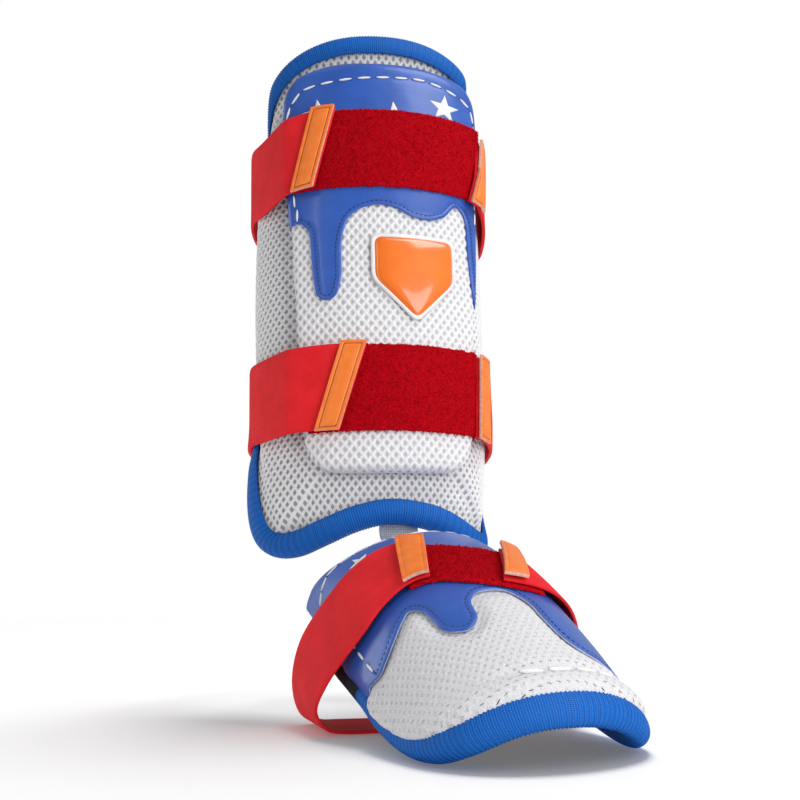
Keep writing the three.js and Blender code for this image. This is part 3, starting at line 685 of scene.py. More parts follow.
def makePadMesh(style):
    reach = shinRun(style["turn"])
    cells = hexCells((-reach, style["low"]), (reach, style["high"]), style["pitch"], style["point"])

    def wanted(spots):
        insideRim = depthFrom(padRim, spots)[0] > style["fromRim"]
        return insideRim & (depthFrom(plateRim, spots)[0] < style["underPlate"])
    keepCells(cells, wanted)
    sinkHoles(cells, style)
    skirt(cells, style["skirt"])
    flat = corners(cells)
    depth, _ = depthFrom(padRim, flat[:, :2])
    pressed = mix(style["pressedCells"], 1, smoothStep(depth, style["pressed"] - 3, style["full"]))
    bend(cells, onPad(flat[:, 0], flat[:, 1], flat[:, 2] * pressed))
    fabric = newPiece("shinPadMesh", cells, [meshWhite, padFloor], "shin_pad")


# foam and lining behind the mesh, quilted in shallow channels
liningStyle = {
    "columns": 96, "rows": 72, "turn": 104.6, "inset": 4, "under": 1.5,
    "quilt": 1.6, "seamWidth": 7, "heightSeams": (20, 44), "runSeams": (29, 58),
}


def fromSeam(value, shift, pitch):  # distance to the nearest of many evenly spaced seams
    return np.abs((value + shift) % pitch - pitch / 2)


def makeLining(style, pad):
    body = flatGrid((-1, 0), (1, 1), style["columns"], style["rows"])
    flat = corners(body)
    turn = flat[:, 0] * style["turn"]
    low, high = (np.interp(turn, padEdges[:, 0], padEdges[:, k]) for k in (2, 1))
    layFlat(body, shinRun(turn), mix(low + style["inset"], high - style["inset"], flat[:, 1]))
    backed(body)
    flat = corners(body)
    run, height = flat[:, 0], flat[:, 1]
    full = smoothStep(depthFrom(padRim, flat[:, :2])[0], pad["pressed"], pad["full"])
    seam = np.minimum(fromSeam(height, *style["heightSeams"]), fromSeam(run, *style["runSeams"]))
    quilt = style["quilt"] * (1 - smoothStep(seam, 0, style["seamWidth"])) * full
    inner = mix(-pad["drop"] - pad["edge"], -pad["thick"], full) + quilt
    outer = padOuter(flat[:, :2]) - style["under"]
    bend(body, padPoint(shinTurn(run), height, np.where(flat[:, 2] < -0.5, inner, outer)))
    bmesh.ops.recalc_face_normals(body, faces=body.faces)
    lining = newPiece("shinLining", body, [liningDark], None)


makePadMesh(padStyle)
makeLining(liningStyle, padStyle)
print("shin pad made")


# ribbed bindings

def evenStations(line, spacing, closed):  # an even count, so that ribs close round the rim
    if closed:
        line = np.vstack([line, line[:1]])
    count = 2 * round(runAlong(line)[-1] / spacing / 2)
    line = spacedOut(line, count + 1)
    if not closed:
        return edgeLine(line)
    return closedRim(line[:-1], runAlong(line)[-1] / count, 0)


def makeBinding(name, line, surface, style, closed, nodeName):
    stations = evenStations(line, style["rib"] / 2, closed)
    profile = smoothLine(style["section"], 4)
    out = -edgeLine(profile)["inward"]
    count = len(stations["line"])
    tape, at = countedGrid(count if closed else count - 1, len(profile) - 1)
    station, row = at[:, 0] % count, at[:, 1]
    layFlat(tape, at[:, 0] * style["rib"] / 2, runAlong(profile)[row])
    crest = np.where(at[:, 0] % 2 == 0, 1, -1) * style["ribHeight"] / 2
    section = profile[row] + out[row] * crest[:, None]
    places = stations["line"][station] + stations["inward"][station] * section[:, :1]
    bend(tape, surface(places[:, 0], places[:, 1], section[:, 1]))
    if closed:
        bmesh.ops.remove_doubles(tape, verts=tape.verts, dist=1e-6)
    piece = thicken(newPiece(name, tape, [bindingBlue], nodeName), style["thick"])
    declareSheet(piece, [style["on"]])


# section: distance inside the rim, and height
shinBindingStyle = {
    "rib": 1.8, "ribHeight": 0.5, "thick": 0.9, "on": "shin_pad",
    "section": [(13.4, -0.9), (9.8, 1.1), (5.4, 1.1), (2, -1), (0.9, -4.4), (2, -7.6), (7, -9.5),
                (13.4, -8.7)],
}
makeBinding("shinBindingTape", padRim["line"],
            lambda run, height, lift: padPoint(shinTurn(run), height, lift),
            shinBindingStyle, True, "shin_binding")
print("shin binding made")


# raised plate

def makePlate(style):
    reach = shinRun(plateHalf(style["high"])) + style["cellsPast"]
    cells = hexCells((-reach, style["cellsLow"]), (reach, style["cellsHigh"]), style["pitch"], style["point"])
    keepCells(cells, lambda spots: depthFrom(plateRim, spots)[0] > -style["pastRim"])
    sinkHoles(cells, style)
    skirt(cells, style["skirt"])
    flat = corners(cells)
    bend(cells, onPlate(flat[:, 0], flat[:, 1], flat[:, 2]))
    fabric = newPiece("shinPlateMesh", cells, [meshWhite, meshFloor], "shin_plate")


makePlate(plateStyle)
print("plate made")


# dripping leather over the plate

leatherStyle = {
    "gap": 0.5, "thick": 1.2, "roll": 0.55, "rollWidth": 1.3, "seam": 2.7, "seamWidth": 0.9, "seamDepth": 0.3,
    "pull": 0.45, "pullWidth": 1.3, "crease": 0.16, "spacing": 1.1,
    "rows": 64, "crowding": 1.25, "evenHeights": (58, 120), "past": 3.5, "pastFrom": 0.975,
}
leatherTop = leatherStyle["gap"] + leatherStyle["thick"]
shinDrips = [
    (-1, 36.5), (-0.93, 35.2), (-0.87, 36.3), (-0.82, 35), (-0.785, 32.7), (-0.765, 31), (-0.752, 28),
    (-0.746, 20), (-0.743, 10), (-0.738, 1), (-0.7, -11), (-0.61, -14), (-0.52, -11.5), (-0.463, -2),
    (-0.437, 23), (-0.335, 38.5), (-0.12, 44.5), (0.06, 43), (0.2, 38.5), (0.38, 37), (0.54, 40.5),
    (0.68, 49), (0.785, 44), (0.85, 17), (0.92, -5), (1, -14),
]
halfRun = shinRun(plateHalf(0))
shinDashLine = [
    (-37.4, 36.7), (-38.3, 41), (-38.2, 44.5), (-39.7, 50), (-41, 80), (-43, 104), (-42.4, 112),
    (-39, 119.5), (-34, 124.6), (-20, 127.4), (-6.5, 128.8), (8, 129.8), (17, 130), (29, 127),
    (39, 122), (42.5, 114), (43, 100), (42, 70), (41, 40),
]
shinDashes = smoothLine(byRun(shinDashLine), 8)


def leatherLift(style, edge, dashes, places):
    x, y = places[:, 0], places[:, 1]
    depth = np.abs(depthFrom(edge, places)[0])
    pulled = style["pull"] * hump(depthFrom(edgeLine(dashes), places)[0], 0, style["pullWidth"])
    rolled = style["roll"] * (1 - smoothStep(depth, 0, style["rollWidth"])) ** 2
    sewn = style["seamDepth"] * hump(depth, style["seam"], style["seamWidth"])
    creased = style["crease"] * np.sin(x / 9 + 1.7 * np.sin(y / 21)) * np.sin(y / 13 + x / 31)
    return style["gap"] + style["thick"] - rolled - sewn - pulled + creased


def makeShinLeather(style):
    drip = evenly(slackLine([(share * halfRun, edge) for share, edge in shinDrips], 12), style["spacing"])
    share = np.clip(drip[:, 0] / halfRun, -1, 1)
    hide = flatGrid((0, 0), (len(drip) - 1, 1), len(drip) - 1, style["rows"])
    flat = corners(hide)
    column, up = np.rint(flat[:, 0]).astype(int), flat[:, 1] ** style["crowding"]
    even = np.linspace(-1, 1, len(drip))[column]
    roughly = mix(drip[column, 1], plateStyle["high"], up)
    spread = mix(share[column], even, smoothStep(roughly, *style["evenHeights"]))
    top = np.interp(spread, plateEdges[:, 0], plateEdges[:, 1]) + style["past"]
    height = mix(drip[column, 1], top, up)
    past = style["past"] * smoothStep(np.abs(spread), style["pastFrom"], 1) * np.sign(spread)
    run = shinRun(spread * plateHalf(height)) + past  # down the side walls
    layFlat(hide, run, height)
    # the drip line as it lies on the sheet, for the rolled and sewn edge
    edge = edgeLine(np.stack([shinRun(share * plateHalf(drip[:, 1])), drip[:, 1]], 1))
    lift = leatherLift(style, edge, shinDashes, np.stack([run, height], 1))
    bend(hide, onPlate(run, height, lift))
    piece = newPiece("shinLeather", hide, [leatherBlue], "shin_overlay")
    return edge, thicken(piece, style["thick"])


shinDripEdge, shinLeather = makeShinLeather(leatherStyle)


def onShinLeather(run, height):
    return onPlate(run, height, leatherTop - 0.1)


whiteDash = {"pitch": 9.9, "length": 8.3, "radius": 0.72, "flat": 0.75, "raise": 0.1, "hole": 0.5}
navyDot = {"pitch": 2.5, "length": 1.7, "radius": 0.42, "flat": 0.7, "raise": -0.1, "hole": 0}
inside = shinDripEdge["line"] + shinDripEdge["inward"] * leatherStyle["seam"]
onLeather = [sewRow("shinWhiteStitches", [shinDashes], onShinLeather, whiteDash, threadWhite),
             sewRow("shinDripStitches", [inside[4:-4]], onShinLeather, navyDot, navyThreadAndHoleShade)]

starStyle = {"inner": 0.4, "thick": 0.25, "shin": 9.8, "foot": 7}


def makeStar(name, middle, radius, turn, surface):
    star = bmesh.new()
    bmesh.ops.create_circle(star, cap_ends=True, cap_tris=True, segments=10, radius=1)
    for vert in star.verts:
        spot = vert.co.xy
        if spot.length > 0.5:
            point = round(math.atan2(spot.x, spot.y) / (36 * degree)) % 2 == 0
            vert.co.xy = spot * (radius if point else radius * starStyle["inner"])
    bmesh.ops.rotate(star, verts=star.verts, cent=(0, 0, 0), matrix=Matrix.Rotation(turn * degree, 3, "Z"))
    bmesh.ops.subdivide_edges(star, edges=star.edges, cuts=3, use_grid_fill=True)
    flat = corners(star)
    bend(star, surface(flat[:, 0] + middle[0], flat[:, 1] + middle[1]))
    bmesh.ops.recalc_face_normals(star, faces=star.faces)
    return thicken(newPiece(name, star, [filmWhite]), starStyle["thick"], 1)


starPlaces, starTilts = [(26.3, 113.9), (3.6, 103.2), (-27.9, 106.3)], [-4, 4, 6]
for number, (middle, tilt) in enumerate(zip(byRun(starPlaces), starTilts)):
    onLeather.append(makeStar(f"shinStar{number}", middle, starStyle["shin"], tilt, onShinLeather))
declareSheet(shinLeather, ["shin_plate"], onLeather)
print("shin leather made")


# badge, its rings from the edge inwards given as size and lift

badgeStyle = {
    "half": 26, "top": 25, "shoulder": -3, "point": -29, "corner": 5, "cornerSteps": 9, "spacing": 1.4,
    "turn": 10.5, "height": 1, "gap": 0.5, "whiteRings": 5,
    "rings": [(1.0, 0.1), (1.0, 1.3), (0.985, 1.7), (0.95, 1.75), (0.925, 1.6), (0.915, 1.35), (0.9, 1.6),
              (0.87, 2.2), (0.8, 2.55), (0.6, 2.85), (0.35, 2.98), (0.12, 3.0), (0.0, 3.0)],
}


def makeBadge(style):
    half, shoulder = style["half"], style["shoulder"]
    sides = np.array([(-half, style["top"]), (half, style["top"]), (half, shoulder),
                      (0, style["point"]), (-half, shoulder)], float)
    outline = []
    for before, here, after in zip(np.roll(sides, 1, 0), sides, np.roll(sides, -1, 0)):
        into = here + (before - here) / np.linalg.norm(before - here) * style["corner"]
        away = here + (after - here) / np.linalg.norm(after - here) * style["corner"]
        for t in np.linspace(0, 1, style["cornerSteps"]):
            outline.append((1 - t) ** 2 * into + 2 * t * (1 - t) * here + t ** 2 * away)
    outline = evenly(np.array(outline + outline[:1]), style["spacing"])[:-1]
    count = len(outline)
    disc, at = countedGrid(count, len(style["rings"]) - 1)
    size, lift = np.array(style["rings"])[at[:, 1]].T
    spot = outline[at[:, 0] % count] * size[:, None]
    turn = style["turn"] + spot[:, 0] / (degree * (shinForm["halfWidth"] + plateStyle["height"]))
    bend(disc, shinPoint(turn, style["height"] + spot[:, 1], plateStyle["height"] + style["gap"] + lift))
    ring = dict(zip(disc.verts, at[:, 1]))
    for face in disc.faces:
        face.material_index = 1 if min(ring[vert] for vert in face.verts) < style["whiteRings"] else 0
    bmesh.ops.remove_doubles(disc, verts=disc.verts, dist=1e-6)
    bmesh.ops.recalc_face_normals(disc, faces=disc.faces)
    newPiece("homePlateBadge", disc, [badgeOrange, badgeWhite], "shin_badge")


makeBadge(badgeStyle)
print("badge made")


# loop panels

loopStyle = {
    "inset": 0.4, "under": 0.3, "gap": 0.1, "thick": 1.6, "left": -0.88, "right": 1.06, "width": 50,
    "clothGrid": (60, 24), "cell": 0.95, "nap": 0.7, "jitter": 0.28, "tufts": (0.25, 1.0),
    "hair": 1.5, "hairsOver": 0.12, "hairsRound": 0.75, "hairLean": 0.7, "hairLengths": (0.4, 1),
    "hairRise": 0.3, "tip": 0.1, "upright": 0.1,
}


def raiseNap(mesh, style):  # each cell drawn up to an uneven tuft
    jitter = chance.uniform(-style["jitter"], style["jitter"], (len(mesh.verts), 2)) * style["cell"]
    for vert, shift in zip(mesh.verts, jitter):
        if not vert.is_boundary:
            vert.co.x += shift[0]
            vert.co.y += shift[1]
    tufts = bmesh.ops.poke(mesh, faces=list(mesh.faces))["verts"]
    for vert, height in zip(tufts, chance.uniform(*style["tufts"], len(tufts))):
        vert.co.z += style["nap"] * height


def isUpright(face, style):
    return abs(face.normal.z) < style["upright"]


def inOrder(faces, style):  # the skirt's faces come in a new order each run, so they are sorted by place
    faces = list(faces)
    numbers = [number for number, face in enumerate(faces) if isUpright(face, style)]
    upright = [faces[number] for number in numbers]
    upright.sort(key=lambda face: [round(value, 3) for value in face.calc_center_median()])
    for number, face in zip(numbers, upright):
        faces[number] = face
    return faces


def addHairs(mesh, style):  # some faces drawn out to loose fibres, most of them round the edge
    faces = inOrder(mesh.faces, style)
    odds = [style["hairsRound"] if isUpright(face, style) else style["hairsOver"] for face in faces]
    draws = chance.random(len(odds))
    chosen = [face for face, odd, draw in zip(faces, odds, draws) if draw < odd]
    for face in inOrder(bmesh.ops.extrude_discrete_faces(mesh, faces=chosen)["faces"], style):
        middle = face.calc_center_median()
        astray = Vector(chance.uniform(-style["hairLean"], style["hairLean"], 3))
        lean = face.normal + astray + Vector((0, 0, style["hairRise"]))
        end = middle + lean.normalized() * style["hair"] * chance.uniform(*style["hairLengths"])
        for vert in face.verts:
            vert.co = end + (vert.co - middle) * style["tip"]


def makeLoop(name, low, high, place, nodeName, restsOn, style):  # a plain cloth, and the pile on it
    low, high = np.array(low), np.array(high)
    cloth = flatGrid(low + style["inset"], high - style["inset"], *style["clothGrid"])
    skirt(cloth, style["thick"] - style["under"])
    keepFlat(cloth)
    bend(cloth, place(corners(cloth) - (0, 0, style["under"])))
    pile = flatGrid(low, high, *np.round((high - low) / style["cell"]).astype(int))
    raiseNap(pile, style)
    skirt(pile, style["thick"])
    pile.normal_update()
    addHairs(pile, style)
    keepFlat(pile)
    bend(pile, place(corners(pile)))
    cloth = newPiece(f"{name}Panel", cloth, [loopRed], nodeName)
    declareSheet(cloth, restsOn, [newPiece(f"{name}Pile", pile, [loopRed], None)])


def leatherUnder(strap):
    return leatherTop if strap["onLeather"] else 0


def makeShinLoop(name, strap, style):
    halfAt = float(shinRun(plateHalf(strap["middle"])))

    def place(flat):
        run = flat[:, 0] * shinRun(plateHalf(flat[:, 1])) / halfAt
        return onPlate(run, flat[:, 1], leatherUnder(strap) + style["gap"] + style["thick"] + flat[:, 2])
    low = (style["left"] * halfAt, strap["middle"] - style["width"] / 2)
    high = (style["right"] * halfAt, strap["middle"] + style["width"] / 2)
    makeLoop(name, low, high, place, strap["panel"], ["shin_plate"], style)


# left and right: turns of a strap's ends, at its upper and lower edge
upperStrap = {
    "panel": "upper_loop_panel", "middle": 81, "drop": 15, "rise": 15, "onLeather": True,
    "left": (-20, -29), "right": (45.5, 34.5),
}
lowerStrap = {
    "panel": "lower_loop_panel", "middle": -67, "drop": 4, "rise": 7, "onLeather": False,
    "left": (-9.5, -20), "right": (39.5, 36.5),
}
makeShinLoop("upperLoop", upperStrap, loopStyle)
makeShinLoop("lowerLoop", lowerStrap, loopStyle)
print("loop panels made")


# straps round the shin

strapStyle = {
    "thick": 2, "width": 50, "sideLift": 2, "overLeather": 0.5, "overPanel": 1,
    "bridgeStart": 42, "bridgeBefore": 6, "bridgeEnd": 80, "leftPower": 2, "rightPower": 2.4,
    "dropTurns": (20, 75), "riseAt": -88, "riseWidth": 38, "wave": 0.12,
    "selvedge": 2.2, "selvedgeFrom": 0.4, "selvedgeDrop": 0.28, "columns": 260, "rows": 26,
}


def strapLift(strap, turn):  # round the corner more sharply on the right
    style, side = strapStyle, fromFront(turn)
    front = plateStyle["height"] + leatherUnder(strap) + style["overLeather"] + loopStyle["thick"]
    front = front + style["overPanel"]
    start = np.where(side > 0, plateHalf(strap["middle"]) - style["bridgeBefore"], style["bridgeStart"])
    left = 1 - np.clip((np.abs(side) - start) / (style["bridgeEnd"] - start), 0, 1)
    share = np.where(side > 0, left ** style["rightPower"], left ** style["leftPower"])
    return mix(style["sideLift"], front, share)


def strapHeight(strap, turn, up):  # drawn up on the left, where it leaves the pad
    style, side = strapStyle, fromFront(turn)
    slope = smoothStep(np.abs(side), *style["dropTurns"])
    rise = strap["rise"] * hump(side, style["riseAt"], style["riseWidth"])
    return strap["middle"] + style["width"] * (up - 0.5) - strap["drop"] * slope + rise


def makeStrap(name, strap, style, nodeName):
    ahead = np.linspace(np.mean(strap["right"]) - 360, np.mean(strap["left"]), 400)
    length = runAlong(shinPoint(ahead, strapHeight(strap, ahead, 0.5), strapLift(strap, ahead)))[-1]
    web = flatGrid((0, 0), (length, style["width"]), style["columns"], style["rows"])
    flat = corners(web)
    keepFlat(web)
    share, up = flat[:, 0] / length, flat[:, 1] / style["width"]
    start = mix(strap["right"][1], strap["right"][0], up) - 360
    end = mix(strap["left"][1], strap["left"][0], up)
    turn = mix(start, end, share)
    fromEdge = np.minimum(flat[:, 1], style["width"] - flat[:, 1])
    thin = style["selvedgeDrop"] * (1 - smoothStep(fromEdge, style["selvedgeFrom"], style["selvedge"]))
    lift = strapLift(strap, turn) + style["thick"] - thin
    lift = lift + style["wave"] * np.sin(flat[:, 0] / 17) * np.sin(flat[:, 1] / 9)
    bend(web, shinPoint(turn, strapHeight(strap, turn, up), lift))
    piece = newBand(name, web, elasticRed, nodeName, style["thick"])
    declareSheet(piece, ["shin_pad", strap["panel"]])


makeStrap("upperElastic", upperStrap, strapStyle, "upper_strap")
makeStrap("lowerElastic", lowerStrap, strapStyle, "lower_strap")


# orange pull tabs, as wide as so many degrees of turn

tabStyle = {
    "shinTurn": 9.2, "footTurn": 10.8, "shinLong": 51.6, "footLong": 45.6, "wide": 13, "cell": (0.35, 0.55),
    "thick": 1.8, "overhang": 0.8, "border": 1.5, "line": 0.7, "deboss": 0.45, "pillow": 0.25,
    "pillowWidth": 2.5, "round": 0.3, "shinGap": 1, "footGap": 1.3, "leftForward": 1.5,
}


def makeTab(name, place, side, long, nodeName):  # place takes shares sideways and up, and a lift
    style, wide = tabStyle, tabStyle["wide"]
    slab = flatGrid((0, 0), (wide, long), round(wide / style["cell"][0]), round(long / style["cell"][1]))
    flat = corners(slab)
    x, y = flat[:, 0], flat[:, 1]
    fromEdge = np.minimum(np.minimum(x, wide - x), np.minimum(y, long - y))
    fromLine = np.abs(fromEdge - style["border"] - style["line"] / 2)
    groove = style["deboss"] * (1 - smoothStep(fromLine, style["line"] * 0.35, style["line"] * 0.8))
    field = style["border"] + style["line"]
    pillow = style["pillow"] * smoothStep(fromEdge, field, field + style["pillowWidth"])
    low = {vert: sunk > 0.5 * style["deboss"] for vert, sunk in zip(slab.verts, groove)}
    for face in slab.faces:
        if sum(low[vert] for vert in face.verts) >= 3:
            face.material_index = 2
    keepFlat(slab)
    across = x / wide if side > 0 else x / wide - 1
    bend(slab, place(across, y / long, pillow - groove))
    bmesh.ops.recalc_face_normals(slab, faces=slab.faces)
    piece = newPiece(name, slab, [rubberOrange, rubberEdge, rubberGroove], nodeName)
    roundEdges(thicken(piece, style["thick"], -1, 1), style["round"])


def makeShinTab(label, strap, side, sideName):
    end, style = strap[sideName], tabStyle

    def place(across, up, lift):
        turn = mix(end[1], end[0], up) + style["shinTurn"] * across
        height = strapHeight(strap, turn, up) + (up - 0.5) * 2 * style["overhang"]
        below = strapLift(strap, turn) + strapStyle["thick"] + style["shinGap"]
        return shinPoint(turn, height, below + style["thick"] + lift)
    makeTab(f"{label}Tab{sideName.title()}", place, side, style["shinLong"], f"{label}_tab_{sideName}")


for label, strap in (("upper", upperStrap), ("lower", lowerStrap)):
    makeShinTab(label, strap, -1, "left")
    makeShinTab(label, strap, 1, "right")
print("straps and tabs made")


# instep guard, its outline given as turn, rear edge and front edge

footOutline = [(0, 0, 174), (20, 0, 172), (40, 0, 167), (55, 0, 160.5), (70, 0, 150), (82, 1, 135),
               (91, 5, 114), (95, 14, 92)]
footEdges = smoothLine(mirrored(footOutline), 12)
footRun = footEdges[:, 0] * footPerDegree
# toe edge from right to left, inside on its left
footFront = edgeLine(evenly(np.stack([footRun, footEdges[:, 2]], 1)[::-1], rimSpacing))
footDrips = [
    (-88, 103), (-84.5, 101), (-80, 99.5), (-75, 101.5), (-70, 103.3), (-62.4, 101.5), (-55.3, 98),
    (-47.8, 93), (-43, 90.5), (-38.5, 95), (-36.2, 106), (-34.8, 114), (-30.5, 119), (-24.5, 121.5),
    (-18.8, 117), (-16.6, 104.5), (-12, 99.6), (-5.6, 98.7), (3, 100), (8, 105.5), (10.8, 111),
    (12, 121), (15, 132), (19, 137.5), (24, 140.2), (36, 140.5), (60, 141), (95, 141),
]
footLeatherStyle = {
    "middleLip": 9.2, "sideLip": 4.5, "sideRun": 60, "peak": 0.4, "drawn": 6.3, "drawnWidth": 20,
    "rows": 66, "crowding": 1.2, "past": 9, "lift": 0.5, "tuck": 1.9, "tuckDepths": (8, 15),
    "turnLength": 5.2, "turnRadius": 2.2, "steeperFrom": 3, "steeper": 0.55,
}


def onFoot(run, along, lift):
    return footPoint(run / footPerDegree, along, lift)


def rearAt(run):
    return np.interp(run, footRun, footEdges[:, 1])


def footDripLine(style):
    knots = [(turn * footPerDegree, edge) for turn, edge in footDrips]
    line = evenly(slackLine(knots, 14), leatherStyle["spacing"])
    for number, (run, edge) in enumerate(line):
        keep = style["middleLip"] if abs(run) < style["sideRun"] else style["sideLip"]  # under the tape's lip
        while edge > 20 and depthFrom(footFront, np.array([[run, edge]]))[0][0] < keep:
            edge -= 1
        line[number, 1] = edge
    eased = np.convolve(np.pad(line[:, 1], 2, "edge"), np.ones(5) / 5, "valid")
    line[:, 1] = np.minimum(line[:, 1], eased + style["peak"])
    return line


def footDrawn(run, along):  # leather and padding are drawn down towards the rear edge
    style = footLeatherStyle
    return style["drawn"] * (1 - smoothStep(along - rearAt(run), 0, style["drawnWidth"]))


footDrip = footDripLine(footLeatherStyle)
footDripEdge = edgeLine(footDrip[::-1])  # right to left, leather on its left
# profile: height over the padding by distance from the toe edge, a stuffed nose, then a flatter middle
coverStyle = {
    "pitch": (4.2, 5.2), "point": 0.9, "rib": 0.62, "roll": 0.4, "depth": 0.3, "skirt": 1.5,
    "turn": 95, "low": -2, "high": 176, "side": 86.5, "fromToe": 4, "underLeather": 6, "fromRear": 2,
    "sewn": 1.8, "sewnAt": 17.5, "sewnWidth": 2.2, "sewnLeft": (-34, -14), "sewnRight": (34, 50),
    "underDepths": (-1, 8), "seat": 0.2, "nose": 6.2, "steep": 1.7, "flatCells": 0.15, "cellDepths": (11, 24),
    "pucker": 0.35, "puckerAt": 8.5, "puckerWidth": 2.2,
    "profile": [(6, 1), (6.3, 2.4), (7, 3.7), (8.4, 4.7), (10.5, 5.1), (13, 4.8), (17, 3.9), (22, 3.7),
                (40, 3.1), (90, 2)],
}
coverProfile = smoothLine(coverStyle["profile"], 8)


def coverLift(places):  # stuffed towards the toe, flat under the leather
    style, run = coverStyle, places[:, 0]
    toe, _ = depthFrom(footFront, places)
    drip = -depthFrom(footDripEdge, places)[0]
    stuffed = np.interp(toe, coverProfile[:, 0], coverProfile[:, 1])
    groove = style["sewn"] * hump(toe, style["sewnAt"], style["sewnWidth"])
    groove = groove * smoothStep(run, *style["sewnLeft"]) * (1 - smoothStep(run, *style["sewnRight"]))
    return (stuffed - groove) * smoothStep(drip, *style["underDepths"]) - style["seat"]


def makeCover(style):
    reach = style["turn"] * footPerDegree
    cells = hexCells((-reach, style["low"]), (reach, style["high"]), style["pitch"], style["point"])

    def wanted(spots):
        onCloth = depthFrom(footFront, spots)[0] > style["fromToe"]
        onCloth &= depthFrom(footDripEdge, spots)[0] < style["underLeather"]
        onCloth &= spots[:, 1] > rearAt(spots[:, 0]) + style["fromRear"]
        return onCloth & (np.abs(spots[:, 0]) < style["side"] * footPerDegree)
    keepCells(cells, wanted)
    sinkHoles(cells, style)
    skirt(cells, style["skirt"])
    flat = corners(cells)
    toe, index = depthFrom(footFront, flat[:, :2])
    short = np.clip(style["nose"] - toe, 0, None)  # cells past the nose turn down on it
    nose = footFront["line"][index] + footFront["inward"][index] * style["nose"]
    places = np.where(short[:, None] > 0, nose, flat[:, :2])
    sunk = flat[:, 2] * mix(style["flatCells"], 1, smoothStep(toe, *style["cellDepths"]))
    sunk = sunk - style["steep"] * short
    pucker = style["pucker"] * np.cos(2 * math.pi * flat[:, 0] / style["pitch"][0])
    pucker = pucker * hump(toe, style["puckerAt"], style["puckerWidth"])
    bend(cells, onFoot(places[:, 0], places[:, 1], coverLift(places) + sunk + pucker))
    bmesh.ops.reverse_faces(cells, faces=cells.faces)
    cover = newPiece("instepMesh", cells, [coverWhite, coverFloor], "foot_cover")


# dark padding below, quilted on its under side, standing off on the left
paddingStyle = {
    "columns": 90, "rows": 80, "turn": 94, "sideTurn": 95, "frontInset": 4, "rearInset": 1.2,
    "quilt": 1.3, "seamWidth": 6, "alongSeams": (8, 40), "runSeams": (24, 48), "quiltGaps": (6, 14),
    "roll": 1.6, "rollWidth": 5, "outerRoll": 0.4, "inner": -8.5, "outer": -1.2, "least": 1,
    "flareTurns": (83, 95), "flareAlong": (20, 45, 60, 75, 92, 105), "flare": (0, 4, 7.5, 5.5, 2.2, 0),
}


def makePadding(style):
    body = flatGrid((-1, 0), (1, 1), style["columns"], style["rows"])
    flat = corners(body)
    turn = flat[:, 0] * style["turn"]
    rear, front = (np.interp(turn, footEdges[:, 0], footEdges[:, k]) for k in (1, 2))
    along = mix(front - style["frontInset"], rear + style["rearInset"], flat[:, 1])
    layFlat(body, turn * footPerDegree, along)
    backed(body)
    flat = corners(body)
    run, along = flat[:, 0], flat[:, 1]
    rear, front = rearAt(run), np.interp(run, footRun, footEdges[:, 2])
    seam = np.minimum(fromSeam(along, *style["alongSeams"]), fromSeam(run, *style["runSeams"]))
    fromSide = style["sideTurn"] * footPerDegree - np.abs(run)
    edgeGap = np.minimum(np.minimum(front - along, along - rear), fromSide)
    quilt = style["quilt"] * (1 - smoothStep(seam, 0, style["seamWidth"]))
    quilt = quilt * smoothStep(edgeGap, *style["quiltGaps"])
    rolled = style["roll"] * (1 - smoothStep(edgeGap, 0, style["rollWidth"]))
    inner = style["inner"] + quilt + rolled
    outer = style["outer"] - style["outerRoll"] * rolled - footDrawn(run, along)
    outer = np.maximum(outer, inner + style["least"])
    flare = smoothStep(-run / footPerDegree, *style["flareTurns"])
    flare = flare * np.interp(along, style["flareAlong"], style["flare"])
    bend(body, onFoot(run, along, np.where(flat[:, 2] < -0.5, inner, outer) + flare))
    bmesh.ops.recalc_face_normals(body, faces=body.faces)
    pad = newPiece("instepPadding", body, [liningDark], "foot_pad")


makeCover(coverStyle)
makePadding(paddingStyle)
footBindingStyle = {
    "rib": 2.3, "ribHeight": 0.55, "thick": 0.9, "on": "foot_pad",
    "section": [(9.5, -0.4), (6.7, 1.5), (3.3, 1.4), (0.9, -0.6), (0, -4.25), (0.9, -8.5), (4.75, -11.6),
                (9.5, -9.6)],
}
makeBinding("toeBindingTape", footFront["line"], onFoot, footBindingStyle, False, "foot_binding")

# seam lines on the instep, given as turn and distance from the rear
scale = np.array([footPerDegree, 1])
sideLine = np.array([(-75, 70), (-74.4, 79.4), (-73.3, 92.4), (-72, 100)]) * scale
rearLine = smoothLine([(-78, 34), (-75.5, 30), (-68, 22.5), (-56.5, 17), (-40, 16), (0, 16), (40, 16),
                       (56.5, 17), (68, 22.5), (75.5, 30), (78, 34)], 10) * scale
toeLine = smoothLine([(33, 150.5), (16.3, 155.9), (2.6, 156.4), (-8.3, 156), (-17, 153.4)], 8) * scale


